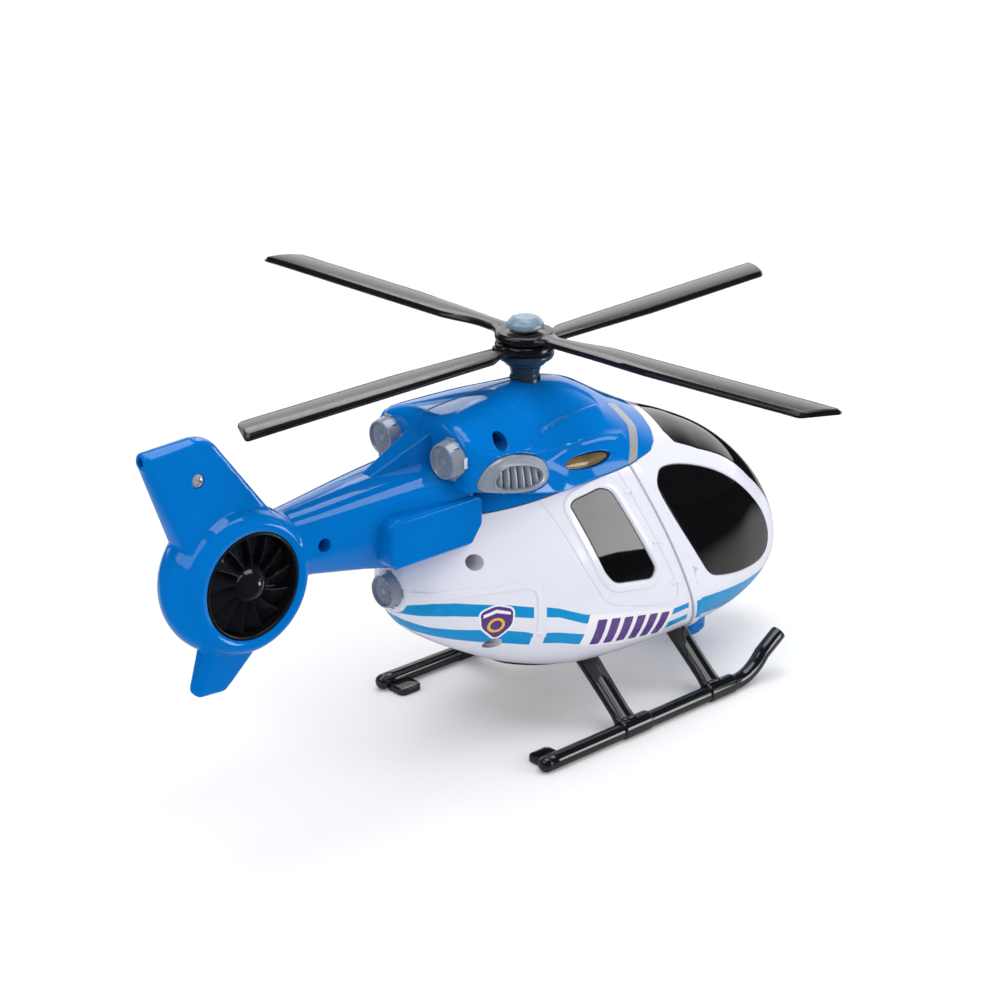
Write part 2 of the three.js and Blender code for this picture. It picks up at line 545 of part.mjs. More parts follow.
// Domed hub and slanted vanes standing on a closed web.
function fanRotor() {
  const dome = [[0, 2], [8.4, 2], [8.8, -1], [8.6, -7], [7.4, -10.6], [5, -13.2], [2.4, -14.6], [0, -15]];
  const web = rod([FAN.x, -5.6, FAN.z], [FAN.x, -3.4, FAN.z], 20.7, 20.7, FAN_SIDES);
  let body = turned(dome, 'y', [FAN.x, 0, FAN.z], 18).add(web);
  for (let k = 0; k < 13; k += 1) {
    const blade = new THREE.BoxGeometry(13.2, 1.1, 8.6);
    blade.translate(14, 0, 0);
    blade.rotateX(0.52);
    blade.translate(0, -7.6, 0);
    blade.rotateY(k * 2 * Math.PI / 13);
    blade.translate(FAN.x, 0, FAN.z);
    body = body.add(solid(blade));
  }
  return body.subtract(rod([FAN.x, -9, FAN.z], [FAN.x, 10, FAN.z], 1.8, 1.8, 12));
}

// ---------------------------------------------------------------- exhaust nozzles, facing aft
function nozzleProfile(r) {
  return [
    [0, -16], [r, -16], [r, -8.6], [r - 0.9, -8.2], [r - 1.3, -0.6], [r - 2, 0], [r - 3, 0], [r - 3.4, -1.6], [0, -1.6],
  ];
}
function nozzle(at, r) {
  const profile = nozzleProfile(r).map(([radius, depth]) => [radius, -depth]);
  let body = turned(profile, 'x', at, 20);
  for (let k = 0; k < 4; k += 1) {
    const angle = (k * 90 + 35) * Math.PI / 180;
    const notch = new THREE.BoxGeometry(3.6, 1.6, 3.2);
    notch.translate(9.6, r - 0.3, 0);
    notch.rotateX(angle);
    notch.translate(...at);
    body = body.subtract(solid(notch));
  }
  return body;
}

// ---------------------------------------------------------------- skids
const SKID_SIDES = 12;
const SKID_ANGLE = Math.PI / SKID_SIDES;
function skidTube(side) {
  const y = side * SKID_Y;
  const z = SKID_R;
  const tube = rod([-38, y, z], [92, y, z], SKID_R / Math.cos(SKID_ANGLE), undefined, SKID_SIDES);
  const bend = ball([92, y, z], SKID_R, SKID_SIDES);
  const toe = rod([92, y, z], [113, y, z + 14], SKID_R, SKID_R, SKID_SIDES);
  const heel = rod([-38, y, z], [-41.4, y, z], SKID_R, SKID_R * 0.6, SKID_SIDES);
  const inner = side * 42;
  const outer = side * 53;
  const pad = planPrism(rounded([[-37.5, inner], [-25, inner], [-25, outer], [-37.5, outer]], 2.6), 0, 3.4);
  return union(tube, bend, toe, heel, pad).intersect(box(-60, 130, -80, 80, 0, 60));
}
// Leg with a sleeve round the skid tube and a flared foot under the belly.
function strut(x, side) {
  const y = side * SKID_Y;
  const bore = rod([x - 9, y, SKID_R], [x + 20, y, SKID_R], SKID_R / Math.cos(SKID_ANGLE) + GAP, undefined, SKID_SIDES);
  const sleeve = rod([x - 4, y, SKID_R + 0.3], [x + 13, y, SKID_R + 0.3], 4.9, 4.9, 14);
  const leg = rod([x, side * 53.6, 6.8], [x + 4, side * 23, 28], 3.7, 3.9, 12);
  const foot = rod([x + 3, side * 30, 23.4], [x + 4.4, side * 20, 30], 4, 5, 12);
  return union(sleeve, leg, foot).subtract(bore).subtract(hull(-1.2 - GAP)).intersect(box(-60, 130, -80, 80, 0.4, 60));
}

// ---------------------------------------------------------------- main rotor
// Blade pair with its hub disc; the outline of each blade is given as [distance out, offset] pairs.
function bladePair(z, rise, discZ, discHigh) {
  const stations = [
    { r: 9, lead: 5, trail: -5, up: 0, turn: 0 },
    { r: 17, lead: 4.2, trail: -4.2, up: 0, turn: 0 },
    { r: 30, lead: 5.4, trail: -6.4, up: rise * 0.15, turn: 0 },
    { r: 44, lead: BLADE_CHORD / 2, trail: -BLADE_CHORD / 2 + 0.6, up: rise * 0.3, turn: 0 },
    { r: 100, lead: BLADE_CHORD / 2, trail: -BLADE_CHORD / 2, up: rise * 0.65, turn: 0 },
    { r: 150, lead: BLADE_CHORD / 2, trail: -BLADE_CHORD / 2, up: rise, turn: 0 },
    { r: ROTOR_LONG, lead: BLADE_CHORD / 2, trail: -BLADE_CHORD / 2, up: rise, turn: 0, rake: true },
  ];
  const half = 1.35;
  const section = [[-1, 0.25], [-0.86, 0.9], [-0.3, 1.1], [0.4, 0.95], [0.9, 0.5], [1, 0], [0.86, -0.6], [0, -0.85], [-0.8, -0.8], [-1, -0.35]];
  const rings = stations.map(({ r, lead, trail, up, turn, rake }) => section.map(([s, t]) => {
    const along = (lead + trail) / 2 + s * (lead - trail) / 2;
    const thick = t * half * (r < 20 ? 1.35 : 1);
    const reach = rake ? ROTOR_SHORT + (ROTOR_LONG - ROTOR_SHORT) * (s + 1) / 2 : r;
    return [reach, along * Math.cos(turn) - thick * Math.sin(turn), z + up + along * Math.sin(turn) + thick];
  }));
  const blade = skin(rings);
  const disc = [[0, 0], [11.6, 0], [12.5, 0.9], [12.5, discHigh - 1], [11.4, discHigh], [0, discHigh]];
  return union(blade, blade.rotate([0, 0, 180]), turned(disc, 'z', [0, 0, discZ], 20));
}
const shaftBore = rod([0, 0, 150], [0, 0, 184], 2.6, 2.6, 12);
function lowerPair() {
  const stop = rod([-15, 1, 172.6], [-15, 1, 178.6], 2, 2, 12);
  return bladePair(173.2, 1.2, 171.2, 4.2).subtract(shaftBore).add(stop);
}

const root = new THREE.Group();
const craft = new THREE.Group();
craft.position.x = HUB_X;
root.add(craft);
function add(name, body, material, parent = craft) {
  const mesh = new THREE.Mesh(geometryOf(body), material);
  mesh.name = name;
  parent.add(mesh);
  return mesh;
}

// Fuselage
add('body_right', rearRight, WHITE());
add('body_left', rearLeft, WHITE());
add('nose_shell', noseShell, WHITE());
add('windshield', windshield, GLASS());
add('side_window_right', sideWindowRight, GLASS());
add('side_window_left', mirrored(sideWindowRight), GLASS());
add('mid_window_right', midWindowRight, GLASS());
add('mid_window_left', mirrored(midWindowRight), GLASS());
add('battery_cover', bellyPlate, SOFT_BLACK());

// Cowl and its trim
add('cowl_right', cowlRight, BLUE());
add('cowl_left', cowlLeft, BLUE());
add('trim_stripe_right', stripeRight, GREY());
add('trim_stripe_left', mirrored(stripeRight), GREY());
add('beacon_lens_right', lensRight, AMBER());
add('beacon_lens_left', mirrored(lensRight), AMBER());
const vent = ventBody();
add('intake_vent_right', vent, GREY());
add('intake_vent_left', mirrored(vent), GREY());
add('exhaust_right', nozzle([NOZZLE.x, -NOZZLE.y, NOZZLE.z], NOZZLE.r), GREY());
add('exhaust_left', nozzle([NOZZLE.x, NOZZLE.y, NOZZLE.z], NOZZLE.r), GREY());
add('exhaust_tail', nozzle([TAIL_NOZZLE.x, 0, TAIL_NOZZLE.z], TAIL_NOZZLE.r), GREY());

// Tail
add('tail_right', tailRight, BLUE());
add('tail_left', tailLeft, BLUE());
add('fan_duct', fanDuct(), SOFT_BLACK());
add('tail_fan', fanRotor(), BLACK());
add('fan_axle', rod([FAN.x, -8, FAN.z], [FAN.x, 9.6, FAN.z], 1.5, 1.5, 12), STEEL());

// Screws
for (const spot of [...screwSpots, cowlSpot]) {
  add(spot.name, screwBody(spot), STEEL());
}
add(boomSpot.name, screwBody(boomSpot, 2.4, 8), STEEL());
add(finSpot.name, screwBody(finSpot, 2.4, 4.6), STEEL());

// Undercarriage
add('skid_right', skidTube(-1), BLACK());
add('skid_left', skidTube(1), BLACK());
add('strut_rear_right', strut(12, -1), BLACK());
add('strut_rear_left', strut(12, 1), BLACK());
add('strut_front_right', strut(68, -1), BLACK());
add('strut_front_left', strut(68, 1), BLACK());

// Rotor
const mastCup = [
  [0, 156.6], [4.9, 156.6], [4.9, 158.8], [6.9, 158.9], [6.4, 161.5], [7.2, 164.6], [8.8, 165.6], [8.8, 167],
  [11.6, 168.2], [12.2, 169.4], [12.2, 170.4], [11, 170.8], [0, 170.8],
];
add('mast_cup', turned(mastCup, 'z', [0, 0, 0], 18).subtract(shaftBore), HUB_GREY());
const mast = rod([0, 0, 128], [0, 0, 182.6], 2.3, 2.3, 14).add(rod([0, 0, 126], [0, 0, 130], 6, 6, 20));
const lowerTurn = new THREE.Group();
lowerTurn.rotation.z = LOWER_PAIR_ANGLE * Math.PI / 180;
craft.add(lowerTurn);
const upperTurn = new THREE.Group();
upperTurn.rotation.z = UPPER_PAIR_ANGLE * Math.PI / 180;
craft.add(upperTurn);
add('rotor_mast', mast, STEEL(), lowerTurn);
add('rotor_pair_lower', lowerPair(), BLACK(), lowerTurn);
add('rotor_pair_upper', bladePair(178.2, 2.6, 175.7, 4.2).subtract(shaftBore), BLACK(), upperTurn);
const cap = [[0, 180.4], [6, 180.4], [6, 181.2], [8, 181.4], [8.2, 183.2], [6.8, 185.4], [4.8, 186.2], [0, 186.2]];
add('hub_cap', turned(cap, 'z', [0, 0, 0], 16).subtract(rod([0, 0, 178], [0, 0, 183.2], 2.6, 2.6, 14)), HUB_GREY(), lowerTurn);

// Belly light and what is inside
const podProfile = [[0, 4.8], [7, 4.8], [10.6, 6.2], [12, 8.8], [12, 20], [0, 20]];
add('belly_pod', turned(podProfile, 'z', [103.6, 0, 0], 20).subtract(hull(-GAP)), BLUE());
const tray = union(box(-24, 30, -17, 17, 36, 38), box(-24, -22, -17, 17, 36, 53), box(28, 30, -17, 17, 36, 53));
add('battery_box', tray, SOFT_BLACK());
add('cell_right', rod([-21.6, -7.6, 45.6], [27.6, -7.6, 45.6], 7.1, 7.1, 16), STEEL());
add('cell_left', rod([-21.6, 7.6, 45.6], [27.6, 7.6, 45.6], 7.1, 7.1, 16), STEEL());
add('circuit_board', box(-18, 24, -15, 15, 56, 57.6), GREEN());
add('speaker', turned([[0, 0], [13.5, 0], [13.5, 3], [7, 6.5], [0, 6.5]], 'z', [60, 0, 26], 28), SOFT_BLACK());

export default root;
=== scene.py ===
"""Toy helicopter: the looks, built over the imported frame.

Shapes are worked out in millimetres from the rotor axis (+X nose, +Y port, +Z up), and each piece is
turned into metres when it is made.
"""
import math

import bmesh
import bpy
import numpy as np
from mathutils import Matrix, Vector
from mathutils.geometry import delaunay_2d_cdt

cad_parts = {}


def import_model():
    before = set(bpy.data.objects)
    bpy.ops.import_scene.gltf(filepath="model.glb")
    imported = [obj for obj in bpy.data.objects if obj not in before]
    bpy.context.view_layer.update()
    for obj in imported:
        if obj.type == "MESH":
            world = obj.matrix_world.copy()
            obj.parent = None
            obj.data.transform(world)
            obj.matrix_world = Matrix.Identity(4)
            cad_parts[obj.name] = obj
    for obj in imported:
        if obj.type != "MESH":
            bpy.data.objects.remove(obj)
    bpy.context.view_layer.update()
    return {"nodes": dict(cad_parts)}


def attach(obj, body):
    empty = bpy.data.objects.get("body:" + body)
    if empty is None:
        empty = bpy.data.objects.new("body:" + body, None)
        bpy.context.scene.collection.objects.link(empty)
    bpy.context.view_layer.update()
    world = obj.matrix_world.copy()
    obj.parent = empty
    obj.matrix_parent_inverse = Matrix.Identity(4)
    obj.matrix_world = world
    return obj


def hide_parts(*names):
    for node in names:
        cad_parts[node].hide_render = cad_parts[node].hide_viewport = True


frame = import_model()

HUB_X = 18.2          # rotor axis ahead of the frame's origin
ORIGIN = (0, 0, 0)
SPREAD = 45.0         # surface millimetres per radian used when the shells are laid out flat
EDGE = math.radians(89.82)      # shell halves stop here, beside the centre seam
TOP = math.radians(90)
FAR = 1e9             # farther than anything on the toy
THIN = 0.02           # least half width or height of a form, where it runs out to a point
SAME_SPOT = 0.02      # points of an outline that are closer than this are one
STEP_V, STEP_A = 0.05, 1e-3     # steps along and round a form that its slopes are measured over
BEVEL_ANGLE = 28      # degrees; edges that turn more than this are rounded

# ---------------------------------------------------------------- fuselage form
# v, x, half width, bottom, widest height, top, fullness below, fullness above
HULL_ROWS = [
    (-90, -78.4, 0.03, 80.4, 80.5, 80.6, 2, 2), (-83, -78.4, 7.5, 72.6, 80, 88, 2, 2),
    (-80, -78, 9.8, 70.4, 80, 90.2, 2, 2), (-77, -76.4, 11.6, 69, 80, 91.6, 2, 2),
    (-71, -71, 18.6, 60.5, 78, 100, 2.1, 2.2), (-60, -60, 26.5, 52, 75, 113, 2.2, 2.2),
    (-45, -45, 33.5, 43, 71, 130, 2.3, 2.2), (-25, -25, 40, 33, 66, 150, 2.4, 2.1),
    (0, 0, 44.5, 25.5, 61, 158, 2.5, 2), (20, 20, 45.5, 22.5, 59, 155, 2.5, 2),
    (45, 45, 45.5, 21, 58, 142, 2.5, 2), (65, 65, 44.5, 20.5, 56, 132, 2.5, 2),
    (85, 85, 42, 20, 54, 124, 2.5, 2.1), (105, 105, 38, 20, 52, 114, 2.4, 2.2),
    (122, 122, 32.5, 21.5, 50, 102, 2.3, 2.2), (136, 136, 26.8, 25, 49, 88.5, 2.2, 2.2),
    (147, 146, 20.6, 29.5, 48.5, 75.5, 2.1, 2.1), (157, 153, 12.8, 36, 48.2, 62.5, 2, 2),
    (166, 157, 4.6, 43.6, 48, 53, 2, 2), (171, 157.7, 0.03, 47.97, 48, 48.03, 2, 2),
    (176, 157, -4.6, 52.4, 48, 43, 2, 2),
]
COWL_ROWS = [
    (-96, -60.2, 0.03, 137.9, 138, 138.1, 2, 2), (-66, -60.2, 26.5, 108.5, 138, 151.6, 2.6, 2.7),
    (-63, -60, 28.4, 106.6, 138, 153.6, 2.6, 2.7), (-60.6, -58.9, 30.2, 104.8, 138, 155.4, 2.6, 2.7),
    (-58, -57, 31.2, 103.4, 137.6, 156.3, 2.6, 2.7),
    (-45, -45, 34, 98, 131, 157.6, 2.5, 2.4), (-28, -28, 37.5, 88, 116, 158.6, 2.4, 2.2),
    (-10, -10, 41, 60, 90, 158.8, 2.4, 2), (8, 8, 44.6, 40, 68, 157.6, 2.5, 2),
    (24, 24, 45.6, 22, 59, 153.4, 2.5, 2), (45, 45, 45.5, 21, 58, 142, 2.5, 2),
    (65, 65, 44.5, 20.5, 56, 132, 2.5, 2), (85, 85, 42, 20, 54, 124, 2.5, 2.1),
]


class Form:
    """A smooth fuselage form; v runs along it and a is the angle up from the starboard side."""

    def __init__(self, rows, first, last):
        table = np.array(rows, float)
        self.v = table[:, 0]
        self.t = table[:, 1:]
        self.first = first
        self.last = last
        self.m = np.zeros_like(self.t)
        self.m[1:-1] = (self.t[2:] - self.t[:-2]) / (self.v[2:] - self.v[:-2])[:, None]
        self.m[0] = (self.t[1] - self.t[0]) / (self.v[1] - self.v[0])
        self.m[-1] = (self.t[-1] - self.t[-2]) / (self.v[-1] - self.v[-2])

    def columns(self, v):
        v = np.asarray(v, float)
        i = np.clip(np.searchsorted(self.v, v, "right") - 1, 0, len(self.v) - 2)
        span = self.v[i + 1] - self.v[i]
        t = ((v - self.v[i]) / span)[:, None]
        span = span[:, None]
        return hermite(t, self.t[i], self.t[i + 1], self.m[i] * span, self.m[i + 1] * span).T

    def at(self, v, a):
        x, w, zb, zm, zt, nl, nu = self.columns(v)
        c, s = np.cos(a), np.sin(a)
        n = np.where(s >= 0, nu, nl)
        h = np.maximum(np.where(s >= 0, zt - zm, zm - zb), THIN)
        r = ((np.abs(c) / np.maximum(w, THIN)) ** n + (np.abs(s) / h) ** n) ** (-1 / n)
        return np.stack([x, -r * c, zm + r * s], 1)

    def slopes(self, v, a):
        dv = (self.at(v + STEP_V, a) - self.at(v - STEP_V, a)) / (2 * STEP_V)
        da = (self.at(v, a + STEP_A) - self.at(v, a - STEP_A)) / (2 * STEP_A)
        return dv, da

    def normal(self, v, a):
        v = np.clip(v, self.first + 0.2, self.last - 0.2)
        dv, da = self.slopes(v, a)
        return unit(np.cross(dv, da))

    def side(self, points, closed=True, step=1.3, limit=EDGE):
        """Lays an outline given as side-view (v, z) points on the starboard surface."""
        p = resample(points, closed, step)
        p[:, 0] = np.clip(p[:, 0], self.first, self.last)
        _, w, zb, zm, zt, nl, nu = self.columns(p[:, 0])
        dz = p[:, 1] - zm
        n = np.where(dz >= 0, nu, nl)
        h = np.where(dz >= 0, zt - zm, zm - zb)
        q = np.minimum(np.abs(dz) / np.maximum(h, THIN), 1)
        y = np.maximum(w, THIN) * (1 - q**n) ** (1 / n)
        return tidy(np.stack([p[:, 0], np.clip(np.arctan2(dz, y), -limit, limit)], 1))

    def plan(self, points, step=1.3):
        """Lays an open line of plan-view (v, distance from the centre line) points on the upper surface."""
        p = resample(points, False, step)
        p[:, 0] = np.clip(p[:, 0], self.first, self.last)
        _, w, _, zm, zt, _, nu = self.columns(p[:, 0])
        q = np.minimum(np.abs(p[:, 1]) / w, 1)
        z = (zt - zm) * (1 - q**nu) ** (1 / nu)
        return tidy(np.stack([p[:, 0], np.minimum(np.arctan2(z, np.abs(p[:, 1])), TOP)], 1))


def rect(left, low, right, high):
    return [(left, low), (right, low), (right, high), (left, high)]


def unit(a):
    return a / np.maximum(np.linalg.norm(a, axis=-1, keepdims=True), 1e-12)


def hermite(t, a, b, slope_a, slope_b):
    """Smooth step from a to b that leaves and arrives with the given slopes."""
    return ((2 * t**3 - 3 * t**2 + 1) * a + (t**3 - 2 * t**2 + t) * slope_a
            + (3 * t**2 - 2 * t**3) * b + (t**3 - t**2) * slope_b)


def resample(points, closed, step):
    p = np.array(points, float)
    ends = np.vstack([p, p[:1]]) if closed else p
    out = []
    for a, b in zip(ends[:-1], ends[1:]):
        n = max(1, int(math.ceil(np.linalg.norm(b - a) / step)))
        for k in range(n):
            out.append(a + (b - a) * k / n)
    if not closed:
        out.append(ends[-1])
    return np.array(out)


def tidy(chain):
    """Drops points that fall on the one before."""
    def apart(i, j):
        gap = chain[i] - chain[j]
        return np.hypot(gap[0], gap[1] * SPREAD) > SAME_SPOT

    keep = [0]
    for i in range(1, len(chain)):
        if apart(i, keep[-1]):
            keep.append(i)
    if len(keep) > 2 and not apart(keep[-1], keep[0]):
        keep.pop()
    return chain[keep]


def bend(before, corner, after, radius, steps):
    """Points round a corner, cut back by the radius or by a little under half of the shorter side."""
    before, after = before - corner, after - corner
    cut = min(radius, np.linalg.norm(before) * 0.45, np.linalg.norm(after) * 0.45)
    a, b = corner + unit(before) * cut, corner + unit(after) * cut
    places = [k / steps for k in range(steps + 1)]
    return [(1 - t) ** 2 * a + 2 * t * (1 - t) * corner + t * t * b for t in places]


def rounded(points, radius, steps=6):
    """Rounds the corners of a closed outline; a corner may carry its own radius as a third value."""
    p = [np.array(q[:2], float) for q in points]
    out = []
    for i, q in enumerate(points):
        own = q[2] if len(q) > 2 else radius
        out += bend(p[i - 1], p[i], p[(i + 1) % len(p)], own, steps)
    return np.array(out)


def softened(points, radius, steps=4):
    """Rounds the inner corners of an open line in the same way."""
    p = [np.array(q[:2], float) for q in points]
    out = [p[0]]
    for i in range(1, len(p) - 1):
        own = points[i][2] if len(points[i]) > 2 else radius
        out += bend(p[i - 1], p[i], p[i + 1], own, steps)
    return np.array(out + [p[-1]])


def spline(points, steps=6, closed=True):
    """Smooth curve through the points."""
    p = np.array(points, float)
    n = len(p)
    out = []
    for i in range(n if closed else n - 1):
        a, b = p[i], p[(i + 1) % n]
        before = p[i - 1] if closed or i > 0 else a
        after = p[(i + 2) % n] if closed or i + 2 < n else b
        out += [hermite(k / steps, a, b, (b - before) / 2, (after - a) / 2) for k in range(steps)]
    if not closed:
        out.append(p[-1])
    return np.array(out)


def within(points, polygon):
    """Which of the (v, a) points lie inside a polygon."""
    x, y = points[:, 0], points[:, 1]
    inside = np.zeros(len(points), bool)
    n = len(polygon)
    for i in range(n):
        x0, y0 = polygon[i]
        x1, y1 = polygon[(i + 1) % n]
        if y0 == y1:
            continue
        crosses = (y0 > y) != (y1 > y)
        inside ^= crosses & (x < (x1 - x0) * (y - y0) / (y1 - y0) + x0)
    return inside


def in_batches(count, size):
    return (slice(start, start + size) for start in range(0, count, size))


def nearest(points, chain, closed, skip=None):
    """Distance from each 3-D point to a 3-D line, and the unit direction away from the line."""
    a, b = chain, np.roll(chain, -1, 0)
    if not closed:
        a, b = a[:-1], b[:-1]
    if skip is not None:
        a, b = a[~skip], b[~skip]
    best = np.full(len(points), FAR)
    away = np.zeros_like(points)
    along = b - a
    length2 = np.maximum((along**2).sum(1), 1e-12)
    for batch in in_batches(len(points), 4000):
        rel = points[batch][:, None, :] - a[None]
        t = np.clip((rel * along[None]).sum(2) / length2[None], 0, 1)
        gap = rel - t[..., None] * along[None]
        d2 = (gap**2).sum(2)
        closest = np.arange(len(rel)), d2.argmin(1)
        best[batch] = np.sqrt(d2[closest])
        away[batch] = gap[closest]
    return best, unit(away)


# Profiles across a line: each gives height and slope from the distance to the line, and the distances
# at which the mesh needs lines of its own.
def groove(width, depth):
    """Rounded channel."""
    def profile(d):
        t = np.clip(d / width, 0, 1)
        return -depth * (1 - t * t) ** 2, 4 * depth * t * (1 - t * t) / width * (d < width)
    return profile, [0, 0.35 * width, 0.7 * width, width]


def plateau(flat, foot, height):
    """Raised band that is flat out to one distance and back on the surface at the next."""
    def profile(d):
        t = np.clip((d - flat) / (foot - flat), 0, 1)
        on = (d > flat) & (d < foot)
        return height * (1 - t * t * (3 - 2 * t)), -height * 6 * t * (1 - t) / (foot - flat) * on
    return profile, [0, flat, flat * 0.7 + foot * 0.3, flat * 0.3 + foot * 0.7, foot]


def crest(rise, fall, height):
    """Soft ridge for a crease; the two sides differ by sign of the distance."""
    def profile(d):
        span = np.where(d >= 0, rise, fall)
        t = np.clip(np.abs(d) / span, 0, 1)
        slope = -2 * height * (1 - t) / span * np.sign(d)
        return height * (1 - t) ** 2, slope * (np.abs(d) < span)
    return profile, [0, 0.12 * rise, 0.3 * rise, 0.6 * rise, rise, -0.12 * fall, -0.3 * fall, -0.6 * fall,
                     -fall]


def swell(reach, height, loops):
    """Rise from the rim of a closed outline to a level that it keeps farther inside."""
    def profile(d):
        left = 1 - np.clip(d / reach, 0, 1)
        return height * (1 - left * left), 2 * height * left / reach * (d > 0)
    return profile, loops


class Line:
    """A feature along a line on the surface: a groove, rib, ledge or crease."""

    def __init__(self, chain, closed, shape, signed=None):
        self.chain = chain
        self.closed = closed
        self.profile, self.loops = shape
        self.signed = signed      # None, "inside" (positive inside a closed outline) or "above" (the line)

    def near(self, base, v, a, chain):
        """Which points of the panel the feature may reach."""
        reach = max(abs(d) for d in self.loops) + 0.5
        box = (base > chain.min(0) - reach).all(1) & (base < chain.max(0) + reach).all(1)
        if self.signed == "inside":
            box |= within(np.stack([v, a], 1), self.chain)
        return np.where(box)[0]

    def relief(self, form, base, v, a):
        """The points that the feature moves, with their height and the tilt of their normals."""
        chain = form.at(self.chain[:, 0], self.chain[:, 1])
        k = self.near(base, v, a, chain)
        if not len(k):
            return k, 0, 0
        d, away = nearest(base[k], chain, self.closed)
        sign = np.ones(len(k))
        if self.signed == "inside":
            sign = np.where(within(np.stack([v[k], a[k]], 1), self.chain), 1.0, -1.0)
        elif self.signed == "above":
            sign = np.where(away[:, 2] >= 0, 1.0, -1.0)
        height, slope = self.profile(d * sign)
        return k, height, slope[:, None] * away * sign[:, None]


def shifted(form, chain, closed, distance):
    """The same line moved sideways over the surface by a small distance."""
    if distance == 0:
        return chain
    v, a = chain[:, 0], chain[:, 1]
    p = form.at(v, a)
    if closed:
        t = np.roll(p, -1, 0) - np.roll(p, 1, 0)
    else:
        t = np.gradient(p, axis=0)
    n = form.normal(v, a)
    b = unit(np.cross(n, t)) * distance
    dv, da = form.slopes(v, a)
    g00, g01, g11 = (dv * dv).sum(1), (dv * da).sum(1), (da * da).sum(1)
    r0, r1 = (dv * b).sum(1), (da * b).sum(1)
    det = np.maximum(g00 * g11 - g01**2, 1e-9)
    return np.stack([v + (g11 * r0 - g01 * r1) / det, a + (g00 * r1 - g01 * r0) / det], 1)


# ---------------------------------------------------------------- meshes
def to_object(name, verts, faces, body, slot, materials, loop_normals=None, marks=None, sharp=None):
    """Makes a piece from millimetre vertices that rides on a body."""
    mesh = bpy.data.meshes.new(name)
    co = np.array(verts, float)
    co = (co + np.array([HUB_X, 0, 0])) * 0.001
    mesh.from_pydata([tuple(c) for c in co], [], [tuple(int(i) for i in f) for f in faces])
    for m in materials:
        mesh.materials.append(m)
    mesh.polygons.foreach_set("use_smooth", [True] * len(mesh.polygons))
    if marks is not None:
        mesh.polygons.foreach_set("material_index", [int(i) for i in marks])
    if loop_normals is not None:
        mesh.normals_split_custom_set([tuple(n) for n in loop_normals])
    elif sharp is not None:
        mesh.set_sharp_from_angle(angle=math.radians(sharp))
    mesh.update()
    obj = bpy.data.objects.new(name, mesh)
    bpy.context.scene.collection.objects.link(obj)
    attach(obj, body)
    return obj


def laid_out(form, outline, cuts, lines, paints, grid, lip):
    """Flat points and mesh lines for a panel: outlines, the sides of features and a grid between them."""
    points, edges = [], []

    def add(chain, closed):
        base = len(points)
        points.extend(np.stack([np.clip(chain[:, 0], form.first, form.last),
                                np.clip(chain[:, 1], -TOP, TOP)], 1))
        last = len(chain) if closed else len(chain) - 1
        edges.extend((base + i, base + (i + 1) % len(chain)) for i in range(last))

    for chain in cuts:
        add(chain, True)
        for d in (0.12 * lip, 0.4 * lip, lip) if lip else ():
            for side in (1, -1):
                parallel = shifted(form, chain, True, side * d)
                if within(parallel, outline).mean() > 0.5:
                    add(parallel, True)
    for chain, _ in paints:
        add(chain, True)
    for line in lines:
        offsets = set(line.loops) if line.signed == "above" else set(line.loops) | {-d for d in line.loops}
        for d in offsets:
            add(shifted(form, line.chain, line.closed, d), line.closed)
    flat = np.array(points)
    flat[:, 1] *= SPREAD
    lo, hi = outline.min(0), outline.max(0)
    vs = np.arange(lo[0] + grid / 2, hi[0], grid)
    us = np.arange(lo[1] * SPREAD + grid / 2, hi[1] * SPREAD, grid * 0.87)
    gv, gu = np.meshgrid(vs, us)
    gv = gv + (np.arange(len(us)) % 2)[:, None] * grid / 2
    g = np.stack([gv.ravel(), gu.ravel()], 1)
    near = np.full(len(g), FAR)
    for batch in in_batches(len(g), 1500):
        near[batch] = ((g[batch][:, None, :] - flat[None]) ** 2).sum(2).min(1)
    g = g[near > (0.5 * grid) ** 2]
    return np.vstack([flat, g[within(g / [1, SPREAD], outline)]]), edges


def cut_out(flat, edges, outline, openings, paints):
    """The flat panel's v and a values, its triangles without the openings, and their slot marks."""
    out = delaunay_2d_cdt([Vector(p) for p in flat], edges, [], 0, 1e-3, False)
    uv = np.array([tuple(p) for p in out[0]])
    tris = np.array([f for f in out[2] if len(f) == 3])
    v, a = uv[:, 0], uv[:, 1] / SPREAD
    mid = np.stack([v[tris].mean(1), a[tris].mean(1)], 1)
    first, second, third = uv[tris[:, 0]], uv[tris[:, 1]], uv[tris[:, 2]]
    area = ((second[:, 0] - first[:, 0]) * (third[:, 1] - first[:, 1])
            - (third[:, 0] - first[:, 0]) * (second[:, 1] - first[:, 1]))
    tris[area < 0] = tris[area < 0][:, [0, 2, 1]]
    keep = within(mid, outline) & (np.abs(area) > 1e-5)
    for chain in openings:
        keep &= ~within(mid, chain)
    marks = np.zeros(len(tris), int)
    for chain, mark in paints:
        marks[within(mid, chain)] = mark
    used = np.unique(tris[keep])
    index = np.full(len(uv), -1)
    index[used] = np.arange(len(used))
    return v[used], a[used], index[tris[keep]], list(marks[keep])


def round_over(form, base, cuts, lip, skip_of):
    """Drop and tilt that round the panel's edges off over the width of the lip."""
    drop = np.zeros(len(base))
    tilt = np.zeros_like(base)
    for chain in cuts:
        d, away = nearest(base, form.at(chain[:, 0], chain[:, 1]), True, skip_of(chain))
        q = np.clip(1 - d / lip, 0, 1)
        drop += lip * (1 - np.sqrt(np.maximum(1 - q * q, 0)))
        slope = np.minimum(q / np.sqrt(np.maximum(1 - q * q, 1e-3)), 3.0) * (d < lip)
        tilt += slope[:, None] * away
    return drop, tilt


def open_edges(triangles):
    directed = {(int(t[i]), int(t[(i + 1) % 3])): True for t in triangles for i in range(3)}
    return [e for e in directed if (e[1], e[0]) not in directed]


